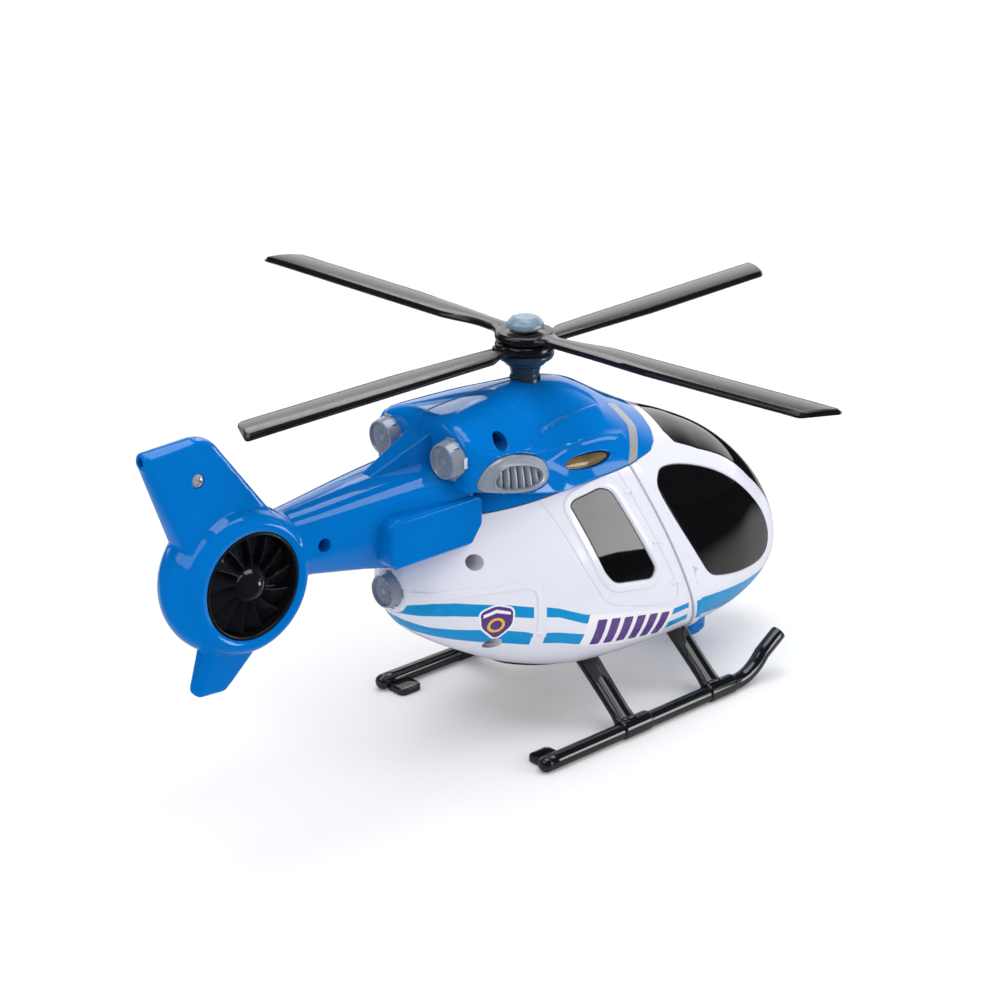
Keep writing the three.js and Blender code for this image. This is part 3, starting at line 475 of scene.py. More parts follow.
class Well:
    """Round screw well that goes straight in from the starboard side."""

    def __init__(self, form, x, z, radius, floor):
        self.chain = form.side(circle(x, z, radius))
        self.x, self.z, self.radius, self.floor = x, z, radius, floor

    def beside(self, point):
        return math.hypot(point[0] - self.x, point[2] - self.z) < self.radius + 1.0

    def outward(self, point):
        return unit(np.array([point[0] - self.x, 0, point[2] - self.z]))

    def tube(self, skin, loop, first, offset, growth, depth, sign):
        """Points, faces and normals of the well's wall and end (sign 1) or of the boss round it (sign -1)."""
        ring, points, faces, normals = {}, [], [], []
        for i in sorted({i for edge in loop for i in edge}):
            ring[i] = first + len(points)
            d = self.outward(skin[i])
            points.append((self.x + d[0] * self.radius * growth, self.floor + depth,
                           self.z + d[2] * self.radius * growth))
        end = first + len(points)
        points.append((self.x, self.floor + depth, self.z))
        for edge in loop:
            i, j = edge[::sign]
            faces += [(j + offset, i + offset, ring[i], ring[j]), (ring[j], ring[i], end)]
            normals += [-sign * self.outward(skin[k]) for k in (j, i, i, j)]
            normals += [np.array([0.0, -float(sign), 0.0])] * 3
        return points, faces, normals


def panel_data(form, outline, lines=(), holes=(), wells=(), paints=(), lift=0.0, wall=2.0, grid=3.0, lip=0.45,
               well_shade_slot=0, weld=False):
    """Starboard shell panel: laid out flat, cut to its outline and lifted back onto the form."""
    openings = list(holes) + [well.chain for well in wells]
    cuts = [outline] + openings
    flat, edges = laid_out(form, outline, cuts, lines, paints, grid, lip)
    v, a, tris, marks = cut_out(flat, edges, outline, openings, paints)
    base = form.at(v, a)
    normal = form.normal(v, a)
    height = np.full(len(v), lift)
    tilt = np.zeros_like(base)
    centre = np.abs(a) > TOP - 1e-4

    def welded_stretch(chain):
        if not weld or chain is not outline:
            return None
        on_top = np.abs(chain[:, 1]) > TOP - 1e-4
        return on_top & np.roll(on_top, -1)

    for line in lines:
        k, rise, lean = line.relief(form, base, v, a)
        height[k] += rise
        tilt[k] += lean
    if lip:
        drop, lean = round_over(form, base, cuts, lip, welded_stretch)
        height -= drop
        tilt += lean
    outer = base + normal * height[:, None]
    bent = unit(normal - tilt)
    inner = base + normal * (lift - wall)
    if weld:
        outer[centre, 1] = 0
        inner[centre, 1] = 0
        bent[centre, 1] = 0
        bent = unit(bent)
    n = len(v)
    back = tris[:, ::-1]
    faces = [tuple(t) for t in tris] + [tuple(t + n) for t in back]
    normals = [bent[i] for t in tris for i in t] + [-normal[i] for t in back for i in t]
    marks += [0] * len(tris)
    rim = open_edges(tris)
    for i, j in rim:
        if (weld and centre[i] and centre[j]) or any(well.beside(base[i]) for well in wells):
            continue
        faces.append((j, i, i + n, j + n))
        normals += [unit(np.cross(outer[i] - outer[j], inner[i] - outer[i]))] * 4
        marks.append(0)
    verts = list(outer) + list(inner)
    for well in wells:
        loop = [edge for edge in rim if well.beside(base[edge[0]])]
        # The well's wall takes the slot of its painted shade; the boss round it keeps the plain plastic.
        for offset, growth, depth, sign, slot in ((0, 0.94, 0, 1, well_shade_slot), (n, 1.2, 1.2, -1, 0)):
            points, walls, facing = well.tube(outer, loop, len(verts), offset, growth, depth, sign)
            verts += points
            faces += walls
            normals += facing
            marks += [slot] * len(walls)
    return np.array(verts), faces, np.array(normals), marks


def mirror_data(data):
    """The same panel on the port side."""
    verts, faces, normals, marks = data
    flip = np.array([1, -1, 1])
    out_normals = []
    at = 0
    for f in faces:
        out_normals.extend(normals[at:at + len(f)][::-1])
        at += len(f)
    return verts * flip, [tuple(reversed(f)) for f in faces], np.array(out_normals) * flip, marks


def welded(data):
    """Joins a starboard panel to its mirror image along the centre line."""
    verts, faces, normals, marks = data
    mv, mf, mn, mm = mirror_data(data)
    n = len(verts)
    same = np.abs(verts[:, 1]) < 1e-6
    index = np.where(same, np.arange(n), n + np.cumsum(~same) - 1)
    faces = list(faces) + [tuple(int(index[i]) for i in f) for f in mf]
    return np.vstack([verts, mv[~same]]), faces, np.vstack([normals, mn]), list(marks) + list(mm)


def panel(name, data, slot, materials, replaces=()):
    """Turns panel data into a piece of the airframe."""
    verts, faces, normals, marks = data
    obj = to_object(name, verts, faces, "airframe", slot, materials, normals, marks)
    if replaces:
        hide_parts(*replaces)


def panel_pair(name, data, slot, materials, nodes=(), port=None):
    """The same panel on both sides; port is its data on that side, where that isn't a plain mirror image."""
    panel(name + "_starboard", data, slot, materials, [node + "_right" for node in nodes])
    panel(name + "_port", mirror_data(port or data), slot, materials, [node + "_left" for node in nodes])


def lathe_data(profile, axis, at, sides=64):
    """Body of revolution from (radius, height) points that start and end on the axis."""
    verts, faces = [], []
    rows = []
    for r, h in profile:
        if r < 1e-6:
            rows.append([len(verts)])
            verts.append((0, 0, h))
        else:
            rows.append(list(range(len(verts), len(verts) + sides)))
            for k in range(sides):
                t = 2 * math.pi * k / sides
                verts.append((r * math.cos(t), r * math.sin(t), h))
    for lower, upper in zip(rows[:-1], rows[1:]):
        for k in range(sides):
            j = (k + 1) % sides
            if len(lower) == 1 and len(upper) > 1:
                faces.append((lower[0], upper[j], upper[k]))
            elif len(upper) == 1 and len(lower) > 1:
                faces.append((lower[k], lower[j], upper[0]))
            elif len(lower) > 1:
                faces.append((lower[k], lower[j], upper[j], upper[k]))
    v = np.array(verts, float)
    if axis == "x":
        v = v[:, [2, 0, 1]]
    if axis == "y":
        v = v[:, [1, 2, 0]]
    return v + np.array(at, float), faces


def skin_data(rings):
    """Closed skin through rings of points, with flat ends."""
    n = len(rings[0])
    verts = [tuple(p) for ring in rings for p in ring]
    faces = []
    for i in range(len(rings) - 1):
        for k in range(n):
            a, b = i * n + k, i * n + (k + 1) % n
            faces.append((a, b, b + n, a + n))
    for end in (0, len(rings) - 1):
        middle = np.mean(np.array(rings[end]), 0)
        m = len(verts)
        verts.append(tuple(middle))
        for k in range(n):
            a, b = end * n + k, end * n + (k + 1) % n
            faces.append((m, b, a) if end == 0 else (m, a, b))
    return np.array(verts, float), faces


def prism_data(points, axis, low, high):
    """Outline carried along an axis: 'y' takes (x, z) points, 'z' takes (x, y) points."""
    if axis == "y":
        rings = [[(x, low, z) for x, z in points], [(x, high, z) for x, z in points]]
    else:
        rings = [[(x, y, low) for x, y in points], [(x, y, high) for x, y in points]]
    return skin_data(rings)


def loop_data(rings):
    """Closed skin through rings of points that come back to the first ring."""
    n, m = len(rings[0]), len(rings)
    verts = [tuple(p) for ring in rings for p in ring]
    faces = [(i * n + k, i * n + (k + 1) % n, (i + 1) % m * n + (k + 1) % n, (i + 1) % m * n + k)
             for i in range(m) for k in range(n)]
    return np.array(verts, float), faces


def ring_data(profile, at, sides=96):
    """Ring about the y axis from a closed (radius, y) profile."""
    angles = [2 * math.pi * k / sides for k in range(sides)]
    return loop_data([[(at[0] + r * math.cos(t), at[1] + y, at[2] + r * math.sin(t)) for r, y in profile]
                      for t in angles])


def plate_data(outline, edge, top, bottom, step=1.2, grid=3.0):
    """Flat moulding in plan with rounded edges.

    edge lists (inset, drop) from the rim inwards; top and bottom give the face heights from (x, y) points.
    """
    rim = resample(outline, True, step)
    n = len(rim)
    verts, faces, first = [], [], {}
    for side, face in ((1, top), (-1, bottom)):
        for j, (margin, drop) in enumerate(edge):
            p = inset(rim, margin) if margin else rim
            first[side, j] = len(verts)
            verts.extend(np.column_stack([p, face(p) - side * drop]))
        inner = np.array(verts[-n:])[:, :2]
        lo, hi = inner.min(0), inner.max(0)
        gx, gy = np.meshgrid(np.arange(lo[0] + grid / 2, hi[0], grid),
                             np.arange(lo[1] + grid / 4, hi[1], grid / 2))
        g = np.stack([gx.ravel(), gy.ravel()], 1)
        g = g[within(g, inner)]
        if len(g):
            g = g[np.array([((inner - q) ** 2).sum(1).min() for q in g]) > 0.3]
        loop = [(k, (k + 1) % n) for k in range(n)]
        out = delaunay_2d_cdt([Vector(p) for p in np.vstack([inner, g])], loop, [], 1, 1e-4, False)
        xy = np.array([tuple(p) for p in out[0]])
        base = len(verts)
        verts.extend(np.column_stack([xy, face(xy) - side * edge[-1][1]]))
        faces += [tuple(base + i for i in t[::side]) for t in out[2]]
        for j in range(len(edge) - 1):
            a, b = first[side, j], first[side, j + 1]
            faces += [(a + k, a + m, b + m, b + k)[::side] for k, m in loop]
    a, b = first[-1, 0], first[1, 0]
    faces += [(a + k, a + m, b + m, b + k) for k, m in loop]
    return np.array(verts, float), faces


def tube_data(path, radii, sides=24):
    """Round bar along a path of 3-D points, with a radius at each of them."""
    p = np.array(path, float)
    tangent = unit(np.gradient(p, axis=0))
    side = unit(np.cross(tangent[0], np.array([0.13, 0.97, 0.2])))
    rings = []
    for i in range(len(p)):
        side = unit(side - tangent[i] * side.dot(tangent[i]))
        other = np.cross(tangent[i], side)
        rings.append([p[i] + radii[i] * (math.cos(t) * side + math.sin(t) * other)
                      for t in (2 * math.pi * k / sides for k in range(sides))])
    return skin_data(rings)


def joined(*parts):
    verts, faces = [], []
    base = 0
    for v, f in parts:
        verts.append(np.array(v, float))
        faces.extend(tuple(i + base for i in face) for face in f)
        base += len(v)
    return np.vstack(verts), faces


def flipped(part, axis=1):
    v, f = part
    v = np.array(v, float)
    v[:, axis] *= -1
    return v, [tuple(reversed(face)) for face in f]


def turned(part, degrees, about=ORIGIN, axis="Z"):
    v, f = part
    m = np.array(Matrix.Rotation(math.radians(degrees), 3, axis))
    about = np.array(about, float)
    return (np.array(v, float) - about) @ m.T + about, f


def around(part, count, start=0, axis="Z"):
    """Copies of a part spaced evenly round an axis."""
    return [turned(part, start + k * 360 // count, axis=axis) for k in range(count)]


def moved(part, step):
    return np.array(part[0]) + np.array(step), part[1]


def outward_mesh(part, name):
    """A bpy mesh in millimetres with its faces pointing out."""
    v, f = part
    mesh = bpy.data.meshes.new(name)
    mesh.from_pydata([tuple(p) for p in v], [], f)
    bm = bmesh.new()
    bm.from_mesh(mesh)
    bmesh.ops.remove_doubles(bm, verts=bm.verts, dist=1e-4)
    bmesh.ops.recalc_face_normals(bm, faces=bm.faces)
    bm.to_mesh(mesh)
    bm.free()
    return mesh


def scratch(part, name="scratch"):
    obj = bpy.data.objects.new(name, outward_mesh(part, name))
    bpy.context.scene.collection.objects.link(obj)
    return obj


def applied(obj):
    """Vertices and faces of an object with its modifiers applied."""
    mesh = bpy.data.meshes.new_from_object(obj.evaluated_get(bpy.context.evaluated_depsgraph_get()))
    v = np.zeros(len(mesh.vertices) * 3)
    mesh.vertices.foreach_get("co", v)
    f = [tuple(p.vertices) for p in mesh.polygons]
    bpy.data.meshes.remove(mesh)
    return v.reshape(-1, 3), f


def dropped(*objs):
    for obj in objs:
        mesh = obj.data
        bpy.data.objects.remove(obj)
        bpy.data.meshes.remove(mesh)


def cut(part, *tools):
    """Solid minus other solids."""
    for tool in tools:
        a, b = scratch(part), scratch(tool)
        mod = a.modifiers.new("cut", "BOOLEAN")
        mod.object = b
        mod.operation = "DIFFERENCE"
        mod.solver = "EXACT"
        part = applied(a)
        dropped(a, b)
    return part


def moulded(part, voxel, smooth):
    """Blends overlapping solids into one moulded shape with small fillets."""
    obj = scratch(part)
    remesh = obj.modifiers.new("blend", "REMESH")
    remesh.mode = "VOXEL"
    remesh.voxel_size = voxel
    relax = obj.modifiers.new("relax", "SMOOTH")
    relax.factor = 0.5
    relax.iterations = smooth
    v, f = applied(obj)
    dropped(obj)
    return v, f


def halved(part, limit, keep_low):
    """Cuts a closed shape on the plane y = limit and closes it."""
    mesh = bpy.data.meshes.new("half")
    mesh.from_pydata([tuple(p) for p in part[0]], [], part[1])
    bm = bmesh.new()
    bm.from_mesh(mesh)
    geom = bm.verts[:] + bm.edges[:] + bm.faces[:]
    cut_geom = bmesh.ops.bisect_plane(bm, geom=geom, plane_co=(0, limit, 0), plane_no=(0, 1, 0),
                                      clear_outer=keep_low, clear_inner=not keep_low)
    rim = [e for e in cut_geom["geom_cut"] if isinstance(e, bmesh.types.BMEdge)]
    bmesh.ops.holes_fill(bm, edges=rim, sides=0)
    bm.verts.index_update()
    v = np.array([tuple(q.co) for q in bm.verts])
    f = [tuple(q.index for q in face.verts) for face in bm.faces]
    bm.free()
    bpy.data.meshes.remove(mesh)
    return v, f


def piece(name, part, body, slot, material, replaces=(), bevel=0.0, sharp=35, segments=2, weld=True):
    """Turns a solid into a piece, with rounded edges if bevel is given (millimetres)."""
    if weld:
        mesh = outward_mesh(part, name)
        part = [tuple(q.co) for q in mesh.vertices], [tuple(p.vertices) for p in mesh.polygons]
        bpy.data.meshes.remove(mesh)
    obj = to_object(name, *part, body, slot, [material], sharp=None if bevel else sharp)
    if bevel:
        mod = obj.modifiers.new("rounding", "BEVEL")
        mod.width = bevel * 0.001
        mod.segments = segments
        mod.limit_method = "ANGLE"
        mod.angle_limit = math.radians(BEVEL_ANGLE)
        mod.harden_normals = True
    if replaces:
        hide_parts(*replaces)


# ---------------------------------------------------------------- materials
class Graph:
    """Node tree of a material or world, built from nothing."""

    def __init__(self, owner):
        owner.use_nodes = True
        self.tree = owner.node_tree
        self.tree.nodes.clear()

    def add(self, kind, inputs, **settings):
        """Adds a node; each input is either joined to a socket or set to a value."""
        node = self.tree.nodes.new("ShaderNode" + kind)
        for key, value in settings.items():
            setattr(node, key, value)
        for key, value in inputs.items():
            if isinstance(value, bpy.types.NodeSocket):
                self.tree.links.new(value, node.inputs[key])
            else:
                node.inputs[key].default_value = value
        return node

    def noise(self, place, scale, detail, roughness=0.5):
        inputs = {"Scale": scale, "Detail": detail, "Roughness": roughness, "Vector": place}
        return self.add("TexNoise", inputs).outputs["Fac"]

    def span(self, source, low, high, to_low=0.0, to_high=1.0, kind="LINEAR"):
        """Maps one range of a value to another."""
        inputs = {"From Min": low, "From Max": high, "To Min": to_low, "To Max": to_high, "Value": source}
        return self.add("MapRange", inputs, interpolation_type=kind).outputs["Result"]

    def eased(self, source, low, high, to_low=0.0, to_high=1.0):
        return self.span(source, low, high, to_low, to_high, "SMOOTHSTEP")

    def blend(self, factor, a, b):
        return self.add("Mix", {"Factor": factor, "A": a, "B": b}, data_type="RGBA").outputs["Result"]

    def maths(self, operation, a, b):
        return self.add("Math", {0: a, 1: b}, operation=operation).outputs[0]

    def times(self, a, b):
        return self.maths("MULTIPLY", a, b)

    def plus(self, a, b):
        return self.maths("ADD", a, b)


def tint(color, gain, lift=0.0):
    return (*(min(1, c * gain + lift) for c in color), 1)


DUST = (0.55, 0.55, 0.56, 1)


def plastic(name, color, rough=0.16, ripple=0.02, ripple_size=0.9, fleck=0.0, mottle=0.03, wear_and_edge_highlight=0.0, coat=0.0,
            metal=0.0, specular=0.5):
    """Moulded plastic: faint flow ripple, uneven gloss, dust flecks, and sharp edges lightened, partly as
    rubbed wear and partly as a painted highlight.
    """
    mat = bpy.data.materials.new(name)
    graph = Graph(mat)
    place = graph.add("TexCoord", {}).outputs["Object"]
    broad = graph.span(graph.noise(place, 45, 3), 0.35, 0.65)
    shade = graph.blend(broad, tint(color, 1 - mottle), tint(color, 1 + mottle))
    # Lighter sharp edges: partly rubbed wear, partly a painted highlight along them.
    if wear_and_edge_highlight > 0:
        edges = graph.span(graph.add("NewGeometry", {}).outputs["Pointiness"], 0.54, 0.62, 0, wear_and_edge_highlight)
        shade = graph.blend(edges, shade, tint(color, 0.8, 0.12))
    if fleck > 0:
        dots = graph.add("TexVoronoi", {"Scale": 95, "Vector": place})
        shade = graph.blend(graph.span(dots.outputs["Distance"], 0.012, 0.022, fleck, 0), shade, DUST)
    gloss = graph.span(graph.noise(place, 220, 4, 0.6), 0.3, 0.7, rough * 0.75, rough * 1.3)
    grain = graph.span(graph.noise(place, 1600, 2), 0, 1, 0, 0.05)
    wave = graph.span(graph.noise(place, 1000 / ripple_size / 6, 1), 0, 1)
    bump = graph.add("Bump", {"Strength": ripple, "Distance": 0.0006, "Height": graph.plus(wave, grain)})
    surface = graph.add("BsdfPrincipled", {
        "Metallic": metal, "Specular IOR Level": specular, "Coat Weight": coat, "Coat Roughness": 0.06,
        "Base Color": shade, "Roughness": gloss, "Normal": bump.outputs["Normal"]})
    graph.add("OutputMaterial", {"Surface": surface.outputs[0]})
    return mat


WHITE = plastic("white_plastic", (0.77, 0.78, 0.875), rough=0.09, ripple=0.02, mottle=0.008)
STRIPE = plastic("light_blue_print", (0.0, 0.275, 0.62), rough=0.22, ripple=0.012, mottle=0.006,
                 specular=0.35)
PURPLE = plastic("purple_print", (0.10, 0.045, 0.235), rough=0.24, ripple=0.03, mottle=0.03)
PALE = plastic("white_print", (0.86, 0.86, 0.90), rough=0.24, ripple=0.03, mottle=0.01)
GOLD = plastic("yellow_print", (0.80, 0.48, 0.03), rough=0.24, ripple=0.03, mottle=0.04)
BLUE = plastic("blue_plastic", (0.0, 0.160, 0.550), rough=0.055, ripple=0.014, mottle=0.02, wear_and_edge_highlight=0.06,
               specular=0.45)
WINDOW = plastic("dark_window", (0.0035, 0.0035, 0.0045), rough=0.035, ripple=0.01, mottle=0.1, fleck=0.4)
# The black's edges are lightened strongly: wear, and also painted highlights along the fan vanes and other
# edges.
BLACK = plastic("black_plastic", (0.007, 0.0075, 0.010), rough=0.10, ripple=0.004, mottle=0.1, wear_and_edge_highlight=0.12,
                specular=0.75)
BLADE = plastic("blade_plastic", (0.007, 0.007, 0.009), rough=0.15, ripple=0.012, mottle=0.1, wear_and_edge_highlight=0.06)
MATT = plastic("inner_black", (0.007, 0.007, 0.008), rough=0.22, ripple=0.03, mottle=0.1)
GREY = plastic("grey_plastic", (0.29, 0.335, 0.405), rough=0.23, ripple=0.05, ripple_size=0.4, mottle=0.05,
               wear_and_edge_highlight=0.05, metal=0.25)
# Darker copies of the blue and white plastic for the walls of the screw wells: painted shade for the depth of
# the holes.
BLUE_PAINTED_WELL_SHADE = plastic("blue_plastic_painted_well_shade", (0.0, 0.085, 0.34), rough=0.2, ripple=0.03, mottle=0.08)
WHITE_PAINTED_WELL_SHADE = plastic("white_plastic_painted_well_shade", (0.56, 0.55, 0.62), rough=0.2, ripple=0.03, mottle=0.06)
CAP = plastic("blue_grey_plastic", (0.20, 0.28, 0.36), rough=0.27, ripple=0.12, ripple_size=0.4,
              mottle=0.07, wear_and_edge_highlight=0.3, metal=0.1)
CUP = plastic("dark_grey_plastic", (0.022, 0.042, 0.066), rough=0.2, ripple=0.05, ripple_size=0.4,
              mottle=0.07, wear_and_edge_highlight=0.25)
SILVER = plastic("silver_stripe", (0.42, 0.43, 0.45), rough=0.3, ripple=0.01, mottle=0.02, metal=0.3)
AMBER = plastic("amber_lens", (0.22, 0.14, 0.055), rough=0.16, ripple=0.12, ripple_size=1.6, mottle=0.45,
                coat=0.2)
STEEL = plastic("zinc_steel", (0.72, 0.72, 0.74), rough=0.22, ripple=0.06, mottle=0.06, metal=0.55)
BOARD = plastic("green_board", (0.02, 0.13, 0.05), rough=0.4, ripple=0.1, mottle=0.12)
CELL = plastic("cell_sleeve", (0.40, 0.41, 0.43), rough=0.35, ripple=0.05, mottle=0.06, metal=0.6)


# ---------------------------------------------------------------- shells
hull = Form(HULL_ROWS, -90, 171)
cowl = Form(COWL_ROWS, -96, 75)
SEAM_TOP = (31.0, 119.0)
SEAM_LEAN = 0.458


def seam_x(z, shift=0.0):
    """Where the seam between nose and rear body is at a height."""
    return SEAM_TOP[0] + (SEAM_TOP[1] - z) * SEAM_LEAN + shift


def circle(x, z, r, n=36, squash=1.0):
    return [(x + r * math.cos(2 * math.pi * k / n),
             z + r * squash * math.sin(2 * math.pi * k / n)) for k in range(n)]


REAR_BODY = [(-95, 100.6), (-60, 100.6), (-60, 112), (-46.5, 113.6), (-30, 115.6), (-12, 117.6), (10, 118.8),
             (seam_x(118.8, -0.15), 118.8), (seam_x(5, -0.15), 5), (-95, 5)]
NOSE_BODY = [(seam_x(5, 0.15), 5), (seam_x(118.8, 0.15), 118.8), (50, 120), (55.5, 122.4), (58, 126),
             (60.6, 150), (180, 150), (180, 5)]
COWL_SIDE = [(-110, 128.3), (-58, 128.0), (-11, 118.4), (10, 119.1), (31, 119.1), (50, 120.3), (54.7, 122.3),
             (57.4, 126), (60.2, 150), (60.2, 175), (-110, 175)]
FLANK = [(-60, 112.8), (-46.2, 113.9), (-30, 115.9), (-12, 117.9), (-9, 118.4), (-56, 129.5)]
MID_WINDOW = rounded([(-8, 111), (-5.5, 113), (10, 115), (16.5, 112), (38.5, 71), (36, 66.5), (13, 70.5),
                      (7.5, 77)], 4.2)
SIDE_WINDOW = spline([(47.2, 104), (48.6, 109.6), (54, 112), (68, 109.5), (86, 103), (102, 94), (117, 82),
                      (128, 70), (134, 58), (133.2, 50), (124, 46.3), (104, 48.5), (86, 52.6), (77, 56.6),
                      (70, 65), (60, 80), (52.5, 92.5)], 5)
WINDSCREEN_EDGE = [(65.2, 0), (65.5, 14), (66.5, 20.5), (70, 24.4), (84, 25.6), (104, 25.2), (122, 24.2),
                   (136, 22), (144, 19.6)]
STRIPE_STRIP = [(35.4, 142), (38.6, 137), (40.8, 132.6), (39.6, 130.6), (30.6, 119.4), (37.4, 119.6),
                (46.6, 129.9), (46.2, 132), (42.6, 139.4)]
LENS = [(6.9 + 14.6 * math.cos(t), 127.2 + 3.0 * math.sin(t) - 0.9 * math.cos(t))
        for t in (2 * math.pi * k / 48 for k in range(48))]
VENT = spline([(-57.0, 130.6), (-55.6, 134.2), (-51.6, 138.4), (-45.4, 140.8), (-39, 140.9), (-33.3, 140),
               (-27, 138), (-22, 135.2), (-19.2, 131.6), (-19.2, 127.8), (-22, 125), (-28.5, 123.6),
               (-35, 123.8), (-42, 124.8), (-50, 126.6), (-55, 128.2)], 4)
VENT_MOUTH = spline([(-48.4, 131.4), (-47.4, 134.2), (-44.4, 136.2), (-40.2, 136.5), (-34.6, 135.4),
                     (-29.6, 133.8), (-26, 132), (-24.5, 129.6), (-25.4, 127.4), (-28, 126.1),
                     (-31.5, 125.6), (-37, 126), (-42.6, 127), (-46.8, 128.6)], 4)


def inset(points, margin):
    """Moves a closed outline inward by a margin (negative grows it)."""
    p = np.array(points, float)
    q = np.roll(p, -1, 0)
    turn = np.sign((p[:, 0] * q[:, 1] - q[:, 0] * p[:, 1]).sum())
    d0 = unit(p - np.roll(p, 1, 0))
    d1 = unit(q - p)
    n = unit(np.stack([-(d0[:, 1] + d1[:, 1]), d0[:, 0] + d1[:, 0]], 1))
    return p + n * margin * turn


# Door, rear ledge and printed areas of the rear body
DOOR = softened([(22.5, 118.6), (31.5, 100), (40, 83), (47.5, 68), (52.6, 58), (53.4, 52.6), (49, 50.6),
                 (30, 54.6), (12, 60.6), (6.5, 64), (-4, 81.6), (-14.8, 102.6), (-22.5, 116.6)], 3, 6)
HINGES = [(25.7, 109.2), (40.1, 83.0), (51.7, 60.3)]
LEDGE = softened([(-75.5, 81), (-55, 81.4), (-32.8, 81.2), (-28.2, 78.6), (-26.9, 74), (-27, 58)], 5, 6)
UPPER_BAND = [(-78.5, 75.6), (-71, 77.6), (-63, 77.4), (-53.5, 75.7), (-40, 73), (-30, 70.2), (-30, 65),
              (-40, 67.6), (-53.4, 69.9), (-63, 71.2), (-71, 71.4), (-78.5, 70)]
UPPER_BAND_FRONT = [(-24, 69), (-17.5, 66.8), (-4.4, 60.8), (20, 53.6), (47, 47), (61.7, 46.9), (62.6, 43.9),
                    (47, 43.6), (20, 49.4), (-4.4, 56.4), (-17.5, 62.6), (-24, 64.2)]
LOWER_BAND = [(-78.5, 67.5), (-69.3, 64.9), (-62, 64), (-52.5, 63.1), (-40, 60.7), (-30, 58), (-30, 51.4),
              (-40, 53.8), (-52, 56), (-62, 58), (-69, 60), (-78.5, 62)]
LOWER_BAND_FRONT = [(-24, 56.6), (-16.8, 55), (-4.9, 51.2), (20, 44.6), (47, 39.9), (63.4, 39.9),
                    (64.6, 36.6), (47, 35.8), (20, 38.4), (-3.5, 45.2), (-15.5, 49.1), (-24, 51)]
SIGN_BASE = [(-5.2, 44.6), (-1.6, 60), (20, 55), (46.8, 48.6), (51.5, 47.2), (49.8, 34.2), (20, 38),
             (5, 42.2)]
NOSE_BAND = [(66.5, 46.6), (77.8, 45.2), (99.7, 42.3), (115, 40.4), (128, 39), (140, 38.6), (152, 40.8),
             (160, 44.2), (171, 45.6), (171, 41.5), (160, 38), (150, 33.5), (140, 29.6), (128, 27.4),
             (106.6, 29), (84.3, 33.5), (70.4, 35.4)]
SHIELD = rounded([(-53.4, 71.6), (-46.6, 74), (-39.4, 71.4), (-39.6, 64), (-45.4, 57.2), (-52.2, 64)], 2.2)
SHIELD_BAR = [(-52, 70.4), (-46.6, 72.2), (-40.6, 70.2), (-40.4, 68.8), (-46.6, 70.6), (-52, 68.8)]
RING_CENTRE = (-46.4, 64.6)


def lettering_bars():
    """Plain slanted bars in place of a name."""
    bars = []
    for k in range(6):
        left, right = 0.5 + k * 8.1, 6.0 + k * 8.1
        low = 43.9 - k * 1.62
        high = 56.2 - k * 1.74
        lean = 2.6
        bars.append([(left, low), (left + lean, high), (right + lean, high - 1.1), (right, low - 1.1)])
    return bars


def rear_body():
    """Rear halves of the body, with the door line, ledge, hinges, printed bands and the middle windows."""
    outline = hull.side(REAR_BODY)
    window = hull.side(MID_WINDOW, step=1.0)
    ring = hull.side(inset(MID_WINDOW, -2.2), step=1.0)
    ledge = hull.side(LEDGE, closed=False)
    lines = [
        Line(hull.side(DOOR, closed=False), False, groove(0.55, 0.42)),
        Line(ring, True, plateau(1.1, 2.3, 0.75)),
        Line(ledge, False, plateau(1.0, 1.8, 0.55)),
    ]
    for x, z in HINGES:
        mark = hull.side([(x - 2.6, z + 0.4), (x + 2.6, z - 0.4)], closed=False, step=1.0)
        lines.append(Line(mark, False, plateau(0.55, 1.05, 0.7)))
    latch = hull.side([(-30.8, 57.2), (-24.2, 56.2)], closed=False, step=1.0)
    lines.append(Line(latch, False, plateau(1.1, 1.7, 0.8)))
    # The last slot is a darker white: painted shade on the walls of the screw wells.
    slots = [WHITE, STRIPE, PURPLE, PALE, GOLD, WHITE_PAINTED_WELL_SHADE]
    prints = [(band, STRIPE, 1.6) for band in (UPPER_BAND, UPPER_BAND_FRONT, LOWER_BAND, LOWER_BAND_FRONT)]
    prints += [(SIGN_BASE, PALE, 1.6)] + [(rounded(bar, 0.7, 3), PURPLE, 1.6) for bar in lettering_bars()]
    prints += [(inset(SHIELD, -0.8), PALE, 1.4), (SHIELD, PURPLE, 1.4),
               (circle(*RING_CENTRE, 3.6), GOLD, 1.3), (circle(*RING_CENTRE, 2.4), PURPLE, 1.3),
               (SHIELD_BAR, PALE, 1.4)]
    paints = [(hull.side(shape, step=step), slots.index(ink)) for shape, ink, step in prints]
    wells = [Well(hull, -54, 94.4, 3.5, -14.0), Well(hull, -45, 54, 3.3, -15.0)]
    data = panel_data(hull, outline, lines, [window], wells, paints, lip=0.35, well_shade_slot=5)
    plain = panel_data(hull, outline, lines, [window], [], paints, lip=0.35)
    panel_pair("rear_body", data, "white_shell", slots, ["body"], plain)

    glass = hull.side(inset(MID_WINDOW, 0.25), step=1.0)
    data = panel_data(hull, glass, lift=-0.35, wall=1.6, lip=0.3)
    panel_pair("middle_window", data, "window", [WINDOW], ["mid_window"])


